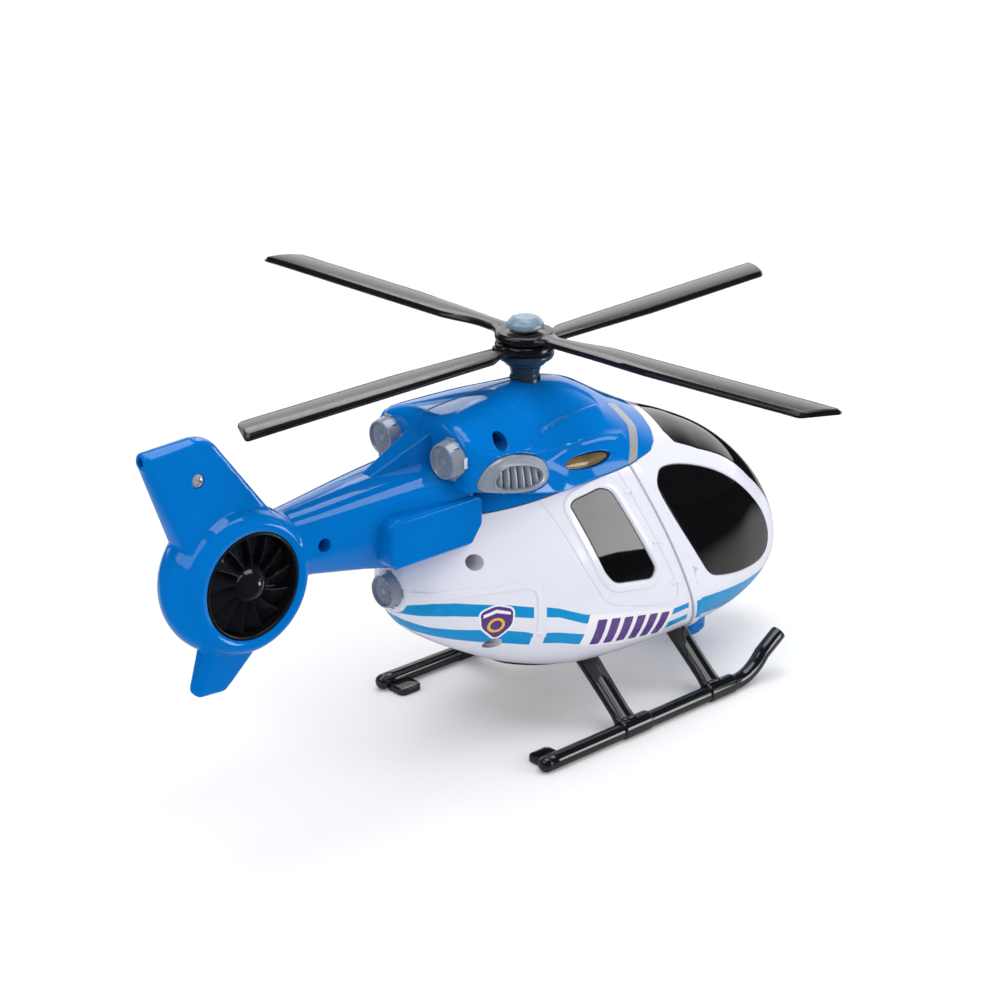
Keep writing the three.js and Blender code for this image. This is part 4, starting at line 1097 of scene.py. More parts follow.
def nose():
    """Nose shell with its seam band and door handle, and its three windows."""
    outline = hull.side(NOSE_BODY, limit=TOP)
    window = hull.side(SIDE_WINDOW, step=1.0)
    screen = screen_outline(0.0)
    seam = hull.side([(seam_x(14), 14), (seam_x(118.8), 118.8)], closed=False, limit=TOP)
    handle = hull.side([(65.2, 62.6), (66.4, 56)], closed=False, step=1.0)
    knob = hull.side([(65.0, 64.2), (65.1, 63.9)], closed=False, step=0.2)
    lines = [
        Line(seam, False, plateau(4.6, 6.4, 1.0)),
        Line(handle, False, plateau(0.6, 1.3, 0.8)),
        Line(knob, False, plateau(0.8, 1.7, 1.1)),
        Line(window, True, groove(0.9, 0.25)),
    ]
    paints = [(hull.side(NOSE_BAND, limit=TOP), 1)]
    data = panel_data(hull, outline, lines, [window, screen], [], paints, lip=0.4, weld=True)
    panel("nose", welded(data), "white_shell", [WHITE, STRIPE], ["nose_shell"])

    glass = hull.side(inset(SIDE_WINDOW, 0.25), step=1.0)
    data = panel_data(hull, glass, lift=-0.12, wall=1.6, lip=0.3)
    panel_pair("side_window", data, "window", [WINDOW], ["side_window"])
    data = panel_data(hull, screen_outline(0.25), lift=-0.05, wall=1.6, lip=0.35, weld=True)
    panel("windscreen", welded(data), "window", [WINDOW], ["windshield"])


def screen_outline(margin):
    """Starboard half of the windscreen: along its plan edge, then across the nose above its widest height."""
    first = WINDSCREEN_EDGE[0]
    rest = [(v, max(0, y - margin)) for v, y in WINDSCREEN_EDGE[1:]]
    edge = hull.plan([(first[0] + margin, max(0, first[1] - margin))] + rest)
    low = hull.side([(148.5, 56 + margin), (162, 56 + margin)], closed=False, limit=TOP)
    on_centre = low[:, 1] > TOP - 1e-3
    if on_centre.any():
        low = low[:int(np.argmax(on_centre)) + 1]
    line = softened(np.vstack([edge[:-2], low]) * np.array([1, SPREAD]), 3, 4) / np.array([1, SPREAD])
    line[-1, 1] = TOP
    line[0, 1] = TOP
    back = np.stack([np.linspace(line[-1, 0], line[0, 0], 60)[1:-1], np.full(58, TOP)], 1)
    return tidy(np.vstack([line, back]))


rear_body()
nose()


# ---------------------------------------------------------------- engine cowl and its trim
CREASE = spline([(-38, 139.6), (-30.4, 141.2), (-16.4, 143.6), (-1.3, 145), (12.6, 145.2), (24, 144.4)],
                5, closed=False)
SHOULDER = spline([(-52, 143.6), (-44, 141.8), (-30, 138.6), (-14, 136.4), (4, 136), (20, 134.6), (33, 131)],
                  5, closed=False)


def engine_cowl():
    """Blue cowl halves with their trim stripe, amber lamps and slatted air intakes."""
    outline = cowl.side(COWL_SIDE)
    vent = cowl.side(inset(VENT, -0.15), step=1.0)
    lens = cowl.side(LENS, step=1.0)
    stripe = cowl.side(rounded(STRIPE_STRIP, 0.8, 3), step=1.0)
    lines = [
        Line(cowl.side(CREASE, closed=False), False, crest(1.5, 9.0, 1.2), signed="above"),
        Line(cowl.side(SHOULDER, closed=False), False, crest(3.0, 5.0, 0.7), signed="above"),
    ]
    # The third slot is a darker blue: painted shade on the wall of the screw well.
    wells = [Well(cowl, -41, 146.6, 3.8, -14.0)]
    data = panel_data(cowl, outline, lines, [vent, lens], wells, [(stripe, 1)], lip=0.5, well_shade_slot=2)
    plain = panel_data(cowl, outline, lines, [vent, lens], [], [(stripe, 1)], lip=0.5)
    panel("cowl_starboard", data, "blue_shell", [BLUE, SILVER, BLUE_PAINTED_WELL_SHADE],
          ["cowl_right", "trim_stripe_right"])
    panel("cowl_port", mirror_data(plain), "blue_shell", [BLUE, SILVER], ["cowl_left", "trim_stripe_left"])

    inner = cowl.side(inset(LENS, 0.45), step=0.8)
    bulge = Line(inner, True, swell(3.4, 0.9, [0, 0.5, 1.2, 2.2]), signed="inside")
    data = panel_data(cowl, inner, [bulge], lift=-2.0, wall=1.4, grid=1.0, lip=0.0)
    panel_pair("lamp_lens", data, "amber_lens", [AMBER], ["beacon_lens"])

    rim = cowl.side(VENT, step=1.0)
    mouth = cowl.side(VENT_MOUTH, step=0.8)
    frame_shape = Line(rim, True, swell(2.6, 1.5, [0, 0.5, 1.2, 2.0, 2.6]), signed="inside")
    step_ring = Line(mouth, True, plateau(1.2, 1.7, 0.35))
    data = panel_data(cowl, rim, [frame_shape, step_ring], [mouth], lift=0.0, wall=5.0, grid=1.6, lip=0.4)
    panel_pair("intake_frame", data, "grey_trim", [GREY], ["intake_vent"])
    back = cowl.side(inset(VENT_MOUTH, -0.8), step=1.0)
    panel_pair("intake_back", panel_data(cowl, back, lift=-4.2, wall=0.9, grid=3, lip=0.0), "grey_trim",
               [GREY])
    slats = []
    for k in range(6):
        v = -45.3 + k * 3.75
        near = VENT_MOUTH[np.abs(VENT_MOUTH[:, 0] - v) < 2.2, 1]
        rings = []
        for z in np.linspace(near.min() - 0.9, near.max() + 0.9, 9):
            a = cowl.side([(v, z), (v + 0.5, z)], closed=False, step=1)
            middle = cowl.at(a[:1, 0], a[:1, 1])[0] - 1.5 * cowl.normal(a[:1, 0], a[:1, 1])[0]
            rings.append([(middle[0] + 1.5 * math.cos(t), middle[1] + 1.7 * math.sin(t), middle[2])
                          for t in (2 * math.pi * j / 20 for j in range(20))])
        slats.append(skin_data(rings))
    fence = joined(*slats)
    piece("intake_slats_starboard", fence, "airframe", "grey_trim", GREY, sharp=40)
    piece("intake_slats_port", flipped(fence), "airframe", "grey_trim", GREY, sharp=40)

    flank = panel_data(hull, hull.side(FLANK), lift=-0.1, wall=2.4, lip=0.25)
    panel_pair("flank", flank, "blue_shell", [BLUE])


# ---------------------------------------------------------------- exhaust nozzles
def exhaust(name, at, r, node):
    """Grey nozzle that faces back, with slots and lugs round it and a web of spokes inside."""
    shell = softened([(0, 16), (r, 16, 0), (r, 8.8, 0.3), (r - 0.45, 8.3, 0.3), (r - 0.75, 4.0, 1.0),
                      (r - 1.7, 0.2, 0.9), (r - 2.3, -0.1, 0.4), (r - 2.6, 0.5, 0.3), (r - 2.9, 1.5, 0.2),
                      (0, 1.6, 0)], 0.4)
    body = lathe_data(shell, "x", ORIGIN, 96)
    slot = prism_data(rect(5.2, -1.5, 9.6, 1.5), "z", r - 0.95, r + 2)
    notch = prism_data(rect(2.6, -0.5, 5.4, 0.5), "z", r - 1.4, r + 2)
    body = cut(body, joined(*around(slot, 4, 42, "X")), joined(*around(notch, 4, 42, "X")))
    lug = prism_data(rounded(rect(4.6, -2.4, 8.6, 2.4), 0.7, 3), "z", r - 1.6, r - 0.05)
    spoke = prism_data([(1.25, -0.22), (2.1, -0.38), (2.1, 0.38), (1.25, 0.22)], "z", 1.4, r - 2.9)
    hub = lathe_data(softened([(0, 1.1), (1.5, 1.2, 0.2), (1.7, 2.2, 0), (0, 2.2)], 0.2), "x", ORIGIN, 32)
    lip = [(0, 2.0), (2.9, 2.0), (3.0, 1.2), (3.4, 1.2), (3.55, 2.1), (0, 2.1)]
    ring = lathe_data(lip, "x", ORIGIN, 48)
    parts = joined(body, *around(lug, 4, 87, "X"), *around(spoke, 12, 0, "X"), hub, ring)
    piece(name, moved(parts, at), "airframe", "grey_trim", GREY, [node], bevel=0.16)


engine_cowl()
exhaust("nozzle_starboard", (-66, -20, 141), 9.2, "exhaust_right")
exhaust("nozzle_port", (-66, 20, 141), 9.2, "exhaust_left")
exhaust("nozzle_tail", (-83, 0, 80.5), 8.8, "exhaust_tail")


# ---------------------------------------------------------------- tail
FAN_X, FAN_Z, BORE = -158.7, 109.3, 22.9
FAN_CENTRE = (FAN_X, 0, FAN_Z)
TAIL_SEAM = 0.05      # gap from the centre line to each half
# x, top, shoulder, half width, waist, bottom
BOOM = [(-146, 130.7, 123.7, 10.6, 114, 103.1), (-142, 131, 124, 11, 114, 103),
        (-125, 132.5, 125.5, 13.5, 114, 102), (-100, 135, 127.5, 17, 114, 97.5),
        (-84, 136.4, 128.6, 19, 114, 94), (-62, 138, 129.4, 21.5, 114, 98),
        (-50, 138.6, 129.6, 22.5, 114, 102)]
FIN = [(-201, 168.4, 0.5), (-200.4, 171.4, 1), (-177, 173.6, 4), (-169.6, 172.2, 4), (-147.4, 141.5, 1),
       (-139, 130, 0.5), (-160, 125, 0.5), (-184.6, 126, 0.5)]
LOWER_FIN = [(-174, 90, 1), (-176.2, 82.6, 1), (-182.4, 65.6, 1.2), (-181, 63.4, 1), (-168, 62.4, 1),
             (-163.4, 66.6, 1.5), (-153.6, 76.4, 1), (-150, 92, 1)]


def boom_skin():
    rings = []
    for x, top, shoulder, w, waist, low in BOOM:
        rise = top - shoulder + 1.5
        arch = [(w * math.sin(t), top - rise + rise * math.cos(t)) for t in np.linspace(0, math.pi / 2, 30)]
        drop = spline([(w + 0.5, shoulder - 3.2), (w + 0.6, waist), (w * 0.82, low + 6),
                       (w * 0.5, low + 1.2), (0, low)], 5, closed=False)
        half = arch + [tuple(q) for q in drop]
        rings.append([(x, y, z) for y, z in half + [(-y, z) for y, z in half[-2:0:-1]]])
    return skin_data(rings)


def shroud_skin():
    half = [(0, 11.7), (22, 11.7), (23.2, 12.3), (24.4, 13.0), (25.8, 13.2), (27.2, 12.5), (29.2, 10.2),
            (30.6, 6.8), (31.4, 3.2), (31.6, 0)]
    profile = [(r, -y) for r, y in half][:-1] + half[::-1]
    v, f = lathe_data(profile, "y", ORIGIN, 128)
    r = np.maximum(np.hypot(v[:, 0], v[:, 2]), 1e-6)
    back = np.maximum(0, -v[:, 0] / r * 0.9 + v[:, 2] / r * 0.35) * np.maximum(0, (r - 24) / 7.6)
    v[:, [0, 2]] *= (1 + 0.1 * back)[:, None]
    return v + np.array(FAN_CENTRE), f


def fin_skin(outline, half_at, edge=1.1):
    """Tapered upright plate with rounded edges."""
    points = resample(rounded(outline, 2, 4), True, 2.0)
    inner = inset(points, edge)
    mid = inset(points, edge * 0.3)
    rings = []
    for side, ring, part in ((-1, inner, 1.0), (-1, mid, 0.8), (-1, points, 0.3), (1, points, 0.3),
                             (1, mid, 0.8), (1, inner, 1.0)):
        rings.append([(x, side * part * half_at(z), z) for x, z in ring])
    return skin_data(rings)


def tail():
    """Boom, fan shroud and fins, blended into one moulding and split on the centre line."""
    rod_path = [(-200.6, 0, 169.3), (-199.9, 0, 169.3), (-177, 0, 170.2), (-174.6, 0, 170.2),
                (-173.2, 0, 170.2)]
    top_rod = tube_data(rod_path, [3.5, 3.9, 3.9, 3.1, 1.4], 32)
    upper = fin_skin(FIN, lambda z: 7.2 - (z - 131) * 0.072 if z > 131 else 7.2)
    lower = fin_skin(LOWER_FIN, lambda z: 3.2 + (z - 62) * 0.1)
    solid = moulded(joined(boom_skin(), shroud_skin(), upper, lower, top_rod), voxel=0.6, smooth=10)
    bore = lathe_data(rect(0, -40, BORE, 40), "y", FAN_CENTRE, 128)
    hole = lathe_data(rect(0, 0, 1.9, 16), "x", (-210, 0, 169.3), 32)
    boom_well = lathe_data(rect(0, -30, 3, -6.2), "y", (-124, 0, 118), 40)
    fin_well = lathe_data(rect(0, -30, 3, -2.4), "y", (-178, 0, 157.4), 40)
    solid = cut(solid, joined(bore, hole, boom_well, fin_well))
    for word, node, side in (("starboard", "tail_right", -1), ("port", "tail_left", 1)):
        half = halved(solid, side * TAIL_SEAM, side < 0)
        piece("tail_" + word, half, "airframe", "blue_shell", BLUE, [node], sharp=42)

    wedge = [[(-91.5, -4.4, 130), (-91.5, 4.4, 130), (-90.6, 3.0, 135.8), (-90.6, -3.0, 135.8)],
             [(-57.2, -10.4, 130), (-57.2, 10.4, 130), (-57.2, 6.8, 150.0), (-57.2, -6.8, 150.0)]]
    piece("tail_spine", skin_data(wedge), "airframe", "blue_shell", BLUE, bevel=0.7, segments=3)
    side_view = rounded([(-97.5, 104.4), (-94.6, 101.4), (-50.4, 101.4), (-46.6, 105), (-46.6, 121),
                         (-48.8, 123.2), (-94.8, 123.2), (-97.5, 120.6)], 0.8, 2)
    for side, name in ((-1, "starboard"), (1, "port")):
        rings = []
        for reach, margin in ((9, 0), (23.6, 0), (24.8, 1.2)):
            rings.append([(x, side * reach, z) for x, z in inset(side_view, margin)])
        piece("side_box_" + name, skin_data(rings), "airframe", "blue_shell", BLUE, bevel=0.45, segments=3)


# ---------------------------------------------------------------- tail fan
VANES, VANE_ROOT, VANE_LENGTH = 13, 7.6, 13
VANE_SWEEP = 0.16     # radians from a vane's root to its tip
VANE_FRONT, VANE_BACK, VANE_STEP = -5.8, -3.5, 4.6
VANE_STEPS = 4        # slices across each vane


def fan_wheel():
    """Vanes that overlap like stairs round a domed hub."""
    radii = np.linspace(VANE_ROOT, VANE_ROOT + VANE_LENGTH, 5)

    def spot(r, y, turn):
        t = 2 * math.pi * turn / VANES + VANE_SWEEP * ((r - VANE_ROOT) / VANE_LENGTH)
        return FAN_X + r * math.cos(t), y, FAN_Z + r * math.sin(t)

    rings = []
    for blade in range(VANES):
        for s in (k / VANE_STEPS for k in range(VANE_STEPS + 1)):
            front = [spot(r, VANE_FRONT - (VANE_STEP - 0.8 * ((r - VANE_ROOT) / VANE_LENGTH)) * s, blade + s)
                     for r in radii]
            rings.append(front + [spot(r, VANE_BACK, blade + s) for r in radii[::-1]])
    piece("fan_wheel", loop_data(rings), "tail_fan_body", "black_gloss", BLACK, ["tail_fan"], bevel=0.3,
          segments=2)
    dome = spline([(0, 2), (8.2, 2), (8.5, 1.2), (8.8, -3), (8.6, -7), (7.4, -10.6), (5, -13.2),
                   (2.4, -14.6), (0, -15)][::-1], 4, closed=False)
    dome = [(max(0, r) if 0 < i < len(dome) - 1 else 0, y) for i, (r, y) in enumerate(dome)]
    piece("fan_hub", lathe_data(dome, "y", FAN_CENTRE, 72), "tail_fan_body", "black_gloss", BLACK,
          sharp=50)


def fan_housing():
    """Black liner of the duct, and the spoked guard that carries the axle."""
    liner = rounded([(22.7, -11.7), (22.7, 11.7), (22.3, 12.2), (21.5, 12.2), (21.2, 11.6), (21.2, -11.6),
                     (21.5, -12.2), (22.3, -12.2)], 0.3, 2)
    piece("fan_liner", ring_data(liner, FAN_CENTRE, 128), "airframe", "black_soft", MATT,
          ["fan_duct"], sharp=50)
    hub = lathe_data(softened([(0, 6), (5, 6, 0.2), (5, 10.2, 0.6), (4.2, 11, 0.6), (0, 11)], 0.4), "y",
                     FAN_CENTRE, 48)
    bar = prism_data(rounded(rect(4, -1.1, 21.4, 1.1), 0.3, 2), "y", 6.5, 10.5)
    spokes = [moved(turned(bar, -(k * 60 + 20), axis="Y"), FAN_CENTRE) for k in range(6)]
    piece("fan_guard", joined(hub, *spokes), "airframe", "black_soft", MATT, bevel=0.3)


# ---------------------------------------------------------------- main rotor
LOWER_TURN, UPPER_TURN = 3.4, 93.4     # degrees from +X
DISC_HEIGHT, DISC_RADIUS = 4.2, 13.3


def blade(z, rise, start, full):
    """Cambered blade: neck at the hub, full width from the second radius on the leading side, raked tip."""
    half, tip, rake, round_off = 8.5, 160.15, 4.85, 2.6
    crown, camber, ease = 1.65, 0.85, 0.75      # height at the middle, fall to the edges, their rounding
    stations = [4, 8, 10, 12, 14, 15.5, 17.5] + list(np.arange(20, 80, 2.0)) + list(np.arange(80, 156, 4.0))
    stations += [tip - round_off * (1 - math.sin(t)) for t in np.linspace(0, math.pi / 2, 9)]
    rings = []
    for r in stations:
        grown = np.clip((r - start) / (full - start), 0, 1)
        grown = grown * grown * (3 - 2 * grown)
        lead = np.interp(r, [4, 8, 12, 15.5, start], [9, 8.8, 7, 4.9, 4.6]) + (half - 4.6) * grown
        trail = np.interp(r, [4, 8, 12, 15.5, 74], [9, 8.8, 7, 5.0, half])
        over = max(0.0, r - (tip - round_off))
        shrink = round_off - math.sqrt(max(0.0, round_off ** 2 - over ** 2))
        lead, trail = lead - shrink, trail - shrink
        lean = rake * np.clip((r - 140) / 18, 0, 1)
        base = z + np.interp(r, [0, 17, 30, 44, 100, 150, 166], [0, 0, 0.15, 0.3, 0.65, 1, 1]) * rise
        thin = 1 - 0.55 * (shrink / round_off) ** 2
        upper = []
        for s in np.linspace(-1, 1, 15):
            y = s * (lead if s > 0 else trail)
            edge = min(lead - y, y + trail)
            soft = ease - math.sqrt(max(0.0, ease ** 2 - max(0.0, ease - edge) ** 2))
            upper.append((y, (crown - camber * s * s - soft) * thin))
        for end in (0, -1):
            upper[end] = (upper[end][0] * 0.93, upper[end][1])
        trim = [(-trail, 0.0)] + upper
        trim += [(lead, 0.0), (lead, -0.7), (lead - 0.35, -1.1), (lead - 0.8, -1.25), (0.0, -1.25),
                 (0.8 - trail, -1.25), (0.35 - trail, -1.1), (-trail, -0.7)]
        rings.append([(r + lean * y / half, y, base + h * (thin if h < 0 else 1)) for y, h in trim])
    return skin_data(rings)


def rotor_disc(z):
    """Round middle of a blade pair, with a shallow pocket on top."""
    r, top = DISC_RADIUS, z + DISC_HEIGHT
    edge = [(0, z), (r - 1, z, 0.6), (r, z + 0.9, 0.7), (r, top - 1.1, 0.9), (r - 1.1, top, 0.9),
            (8.6, top, 0.3), (8.3, top - 0.45, 0.3), (0, top - 0.45)]
    return lathe_data(softened(edge, 0.5), "z", ORIGIN, 96)


def rotor():
    """Both blade pairs on their discs, the cap above them and the socket below."""
    bore = lathe_data(rect(0, 150, 2.55, 180.1), "z", ORIGIN, 32)
    lower = cut(rotor_disc(171.2), bore)
    one = blade(173.2, 1.2, 18, 29)
    pin = lathe_data(softened([(0, 172.6), (1.9, 172.6, 0.4), (1.9, 176.7, 0.7), (0, 176.7)], 0.4), "z",
                     (-15, 1, 0), 28)
    lug = prism_data(rounded([(-17.3, -1.6), (-10, -2.4), (-10, 4.4), (-17.3, 3.6)], 1.4, 4), "z", 172.2,
                     175.6)
    head = lathe_data(softened([(0, 0), (1.7, 0, 0.3), (1.7, 1.0, 0.4), (1.1, 1.3, 0.2), (0, 1.3)], 0.2),
                      "x", (-18.3, 1, 174.0), 24)
    parts = turned(joined(lower, one, turned(one, 180), pin, lug, head), LOWER_TURN)
    piece("blade_pair_lower", parts, "rotor_lower", "black_gloss", BLADE, ["rotor_pair_lower"], sharp=50)
    upper = cut(rotor_disc(175.7), bore)
    one = blade(178.2, 2.6, 23, 47)
    parts = turned(joined(upper, one, turned(one, 180)), UPPER_TURN)
    piece("blade_pair_upper", parts, "rotor_upper", "black_gloss", BLADE, ["rotor_pair_upper"], sharp=50)
    cap = softened([(0, 180.4), (6, 180.4, 0.2), (6, 181.2, 0.2), (7.9, 181.3, 0.4), (8.2, 182.0, 0.3),
                    (8.1, 183.5, 0.2), (6.5, 185.4, 0.2), (4.9, 186.05, 0.2), (0, 186.15)], 0.2)
    piece("rotor_cap", turned(lathe_data(cap, "z", ORIGIN, 12), 15), "rotor_lower", "grey_trim", CAP,
          ["hub_cap"], bevel=0.3, segments=3)
    cup = softened([(0, 156.2), (6.4, 156.2, 0.3), (7.0, 157.4, 0.5), (6.8, 159, 0.6), (6.2, 160.6, 1.2),
                    (7.2, 164.4, 1.0), (9.0, 165.3, 0.5), (9.6, 166.6, 0.5), (12.0, 167.8, 0.5),
                    (12.7, 169.0, 0.4), (12.7, 170.3, 0.4), (11.6, 170.8, 0.3), (0, 170.8)], 0.4)
    body = lathe_data(cup, "z", ORIGIN, 96)
    shaft = lathe_data(rect(0, 150, 2.6, 180), "z", ORIGIN, 32)
    notch = prism_data(rect(5.7, -1.5, 10, 1.5), "z", 150, 159.6)
    body = cut(body, joined(shaft, *around(notch, 4, 20)))
    piece("mast_socket", body, "airframe", "grey_trim", CUP, ["mast_cup"], sharp=40)


# ---------------------------------------------------------------- undercarriage
SKID_Y, SKID_R = 55.4, 3.7
ABOVE_FLOOR = 0.02    # keeps the smoothed collars off the floor
LEG_DEPTH = 1.42      # how much deeper than wide a leg is


def skid(side, name, node):
    """Round runner with a rounded heel, a turned-up toe and a foot pad."""
    y, z = side * SKID_Y, SKID_R
    heel = [(-41.3, 0.4), (-41.2, 1.4), (-40.7, 2.4), (-39.9, 3.2), (-38.8, 3.62), (-38.0, 3.7),
            (-37.6, 3.7), (-37.3, 3.5), (-36.9, 3.5), (-36.5, 3.68)]
    path = [(x, y, z) for x, _ in heel] + [(x, y, z) for x in np.arange(-32, 82, 4)]
    bend_start, bend_corner, bend_end = np.array([83, z]), np.array([93.5, z]), np.array([101, z + 9.3])
    for t in (k / 10 for k in range(11)):
        p = (1 - t) ** 2 * bend_start + 2 * t * (1 - t) * bend_corner + t * t * bend_end
        path.append((p[0], y, p[1]))
    radii = [r for _, r in heel] + [SKID_R] * (len(path) - len(heel))
    way = unit(np.array([112.4, z + 16.6]) - bend_end)
    for d, r in ((4, SKID_R), (9, SKID_R), (12.9, SKID_R), (13.3, 3.5), (13.4, 3.1)):
        p = bend_end + way * d
        path.append((p[0], y, p[1]))
        radii.append(r)
    near, far = sorted([side * 42.2, side * 54])
    plan = rounded(rect(-37.5, near, -25, far), 3.2, 5)
    pad = plate_data(plan, [(0, 0.6), (0.12, 0.3), (0.4, 0.08), (0.8, 0)], lambda p: np.full(len(p), 3.4),
                     lambda p: np.zeros(len(p)), 0.8, 3.0)
    piece(name, joined(tube_data(path, radii, 40), pad), "airframe", "black_gloss", BLACK, [node], sharp=40)


def strut(x, side, name, node):
    """Leg with the collar that clips round the runner."""
    y = side * SKID_Y
    collar = [(x - 4.6, 3.9), (x - 4.4, 4.35), (x - 3.9, 4.5), (x + 12, 4.5), (x + 12.5, 4.35),
              (x + 12.7, 3.9)]
    clip = tube_data([(cx, y, 4.1) for cx, _ in collar], [r for _, r in collar], 40)
    low, high = np.array([x + 0.4, side * 53.8, 6.6]), np.array([x + 4.6, side * 19.5, 30.2])
    taper = [(0, 4.2), (0.06, 3.9), (0.14, 3.7), (0.3, 3.7), (0.6, 3.85), (0.8, 4.0), (0.92, 4.3), (1, 4.8)]
    v, f = tube_data([low + (high - low) * t for t, _ in taper], [r for _, r in taper], 40)
    axis_x = np.interp(v[:, 2], [low[2], high[2]], [low[0], high[0]])
    v[:, 0] = axis_x + (v[:, 0] - axis_x) * LEG_DEPTH
    solid = moulded(joined(clip, (v, f)), voxel=0.4, smooth=6)
    solid[0][:, 2] = np.maximum(solid[0][:, 2], ABOVE_FLOOR)
    piece(name, solid, "airframe", "black_gloss", BLACK, [node], sharp=60, weld=False)


def undercarriage():
    for side, word, node in ((-1, "starboard", "right"), (1, "port", "left")):
        skid(side, "skid_" + word, "skid_" + node)
        strut(12, side, "rear_strut_" + word, "strut_rear_" + node)
        strut(68, side, "front_strut_" + word, "strut_front_" + node)


def belly():
    """Blue lamp under the nose and the ribbed battery door."""
    pod = softened([(0, 4.8), (6.6, 4.8, 0.8), (7.4, 5.7, 0.4), (8.2, 5.8, 0.3), (10.3, 6.3, 0.8),
                    (10.9, 8.0, 0.4), (11.9, 8.2, 0.5), (12, 10.6, 0.3), (11.4, 10.8, 0.3),
                    (11.4, 11.6, 0.3), (12, 11.8, 0.3), (12, 23), (0, 23)], 0.3)
    piece("belly_lamp", lathe_data(pod, "z", (103.6, 0, 0), 96), "airframe", "blue_shell", BLUE,
          ["belly_pod"], sharp=50)
    door = rounded(rect(-26, -19, 30, 19), 5, 6)

    def under(p):
        _, w, zb, zm, _, nl, _ = hull.columns(p[:, 0])
        q = np.minimum(np.abs(p[:, 1]) / w, 1)
        return zm - (zm - zb) * (1 - q**nl) ** (1 / nl)

    def hung(outline, edge, inside, outside, step, grid):
        return plate_data(outline, edge, lambda p: under(p) + inside, lambda p: under(p) - outside, step,
                          grid)

    plate = hung(door, [(0, 0.3), (0.1, 0.1), (0.35, 0)], 1.6, 0.75, 1.5, 4)
    ribs = []
    for k in range(5):
        x = -20 + k * 3.2
        bar = rounded(rect(x, -9, x + 1.4, 9), 0.6, 3)
        ribs.append(hung(bar, [(0, 0.2), (0.15, 0)], 0.5, 1.3, 1.2, 3))
    piece("battery_door", joined(plate, *ribs), "airframe", "black_soft", BLACK, ["battery_cover"], sharp=40)


# ---------------------------------------------------------------- screws and the parts that stay as imported
def screw(name, x, z, floor, head, length):
    """Pan-head screw with a cross recess, at the bottom of a well."""
    y = floor - 0.3
    pan = softened([(0, -y + 2.0), (head * 0.55, -y + 1.95, 0.6), (head * 0.95, -y + 1.1, 0.5),
                    (head, -y + 0.4, 0.3), (head, -y, 0.1), (1.3, -y, 0.1), (1.3, -y - length, 0.1),
                    (0, -y - length)], 0.2)
    body = lathe_data([(r, -h) for r, h in pan], "y", (x, 0, z), 40)
    arm = head * 0.62
    cross = []
    for a, b in ((arm, 0.42), (0.42, arm)):
        bar = rect(x - a, z - b, x + a, z + b)
        cross.append(turned(prism_data(bar, "y", y - 2.6, y - 1.0), 24, (x, 0, z), "Y"))
    piece(name + "_detail", cut(body, *cross), "airframe", "steel", STEEL, [name], sharp=35)


# name, x, z, floor of the well, head radius, length
SCREWS = [("body_screw_upper", -54, 94.4, -14, 2.6, 12), ("body_screw_lower", -45, 54, -15, 2.6, 12),
          ("cowl_screw", -41, 147, -14, 2.6, 12), ("boom_screw", -124, 118, -6.2, 2.4, 6),
          ("fin_screw", -178, 157.4, -3.4, 2.9, 4)]


def dress_kept_nodes():
    """Gives the hidden parts that stay as imported a finish of their own."""
    finishes = (("axle", STEEL), ("mast", STEEL), ("cell", CELL), ("board", BOARD), ("battery", MATT),
                ("speaker", MATT))
    for name, obj in frame["nodes"].items():
        for word, mat in finishes:
            if word in name:
                obj.data.materials.clear()
                obj.data.materials.append(mat)
                break


tail()
fan_wheel()
fan_housing()
rotor()
undercarriage()
belly()
for fastener in SCREWS:
    screw(*fastener)
dress_kept_nodes()


# ---------------------------------------------------------------- studio (metres from here on)
FLOOR_HALF = 14
FLOOR_NEAR_GLOW, FLOOR_FAR_GLOW = 0.09, 0.5
FLOOR_MIRROR_DIM = 0.45                   # how much of the near floor's reflection is taken away
FLOOR_MIRROR_CENTRE = (0.2, 0.25, 0)      # the floor's reflection is dark away from here
WORLD_LEVEL, ROOM_LEVEL, BACKDROP_LEVEL = 0.62, 0.02, 1.4
BACKDROP_TURN = 47.7                      # degrees from +X towards +Y
CAMERA_TURN, CAMERA_TILT, CAMERA_LENS = -42.31, 21.58, 86.23
CAMERA_SPOT = (-0.67559, -0.72599, 0.49288)
SOFTBOXES = [          # name, place, aim, width, height, power
    ("top_softbox", (0.12, 0.0, 1.5), (0, 0, 0.08), 1.5, 1.1, 14),
    ("left_softbox", (-1.4, 0.15, 0.42), (0, 0, 0.1), 0.7, 0.5, 4.4),
    ("right_softbox", (0.9, -1.3, 0.52), (0.02, 0, 0.1), 0.75, 0.6, 8.0),
]
REFLECTED_CARDS = [    # seen only as reflections: name, place, aim, width, height, power
    ("side_card", (0.262, -0.355, 0.0725), (-0.29, 0.465, 0.0725), 0.152, 0.145, 0.42),
    ("streak_card", (0.384, -0.273, 0.182), (-0.166, 0.547, 0.182), 0.13, 0.028, 0.03),
    ("left_card", (-1.4, 0.3, 1.4), (-0.15, 0.0, 0.12), 1.8, 1.5, 13.0),
    ("roof_card_rear", (0.68, 0.87, 0.81), (-0.03, 0.0, 0.157), 0.30, 0.22, 0.48),
    ("roof_card_front", (0.80, 0.61, 0.95), (-0.01, -0.01, 0.157), 0.34, 0.20, 0.50),
]


def area_light(name, spot, target, width, height, power):
    data = bpy.data.lights.new(name, "AREA")
    data.shape = "RECTANGLE"
    data.size = width
    data.size_y = height
    data.energy = power
    lamp = bpy.data.objects.new(name, data)
    lamp.location = spot
    lamp.rotation_euler = (Vector(target) - Vector(spot)).to_track_quat("-Z", "Y").to_euler()
    lamp.visible_camera = False
    bpy.context.scene.collection.objects.link(lamp)
    return lamp


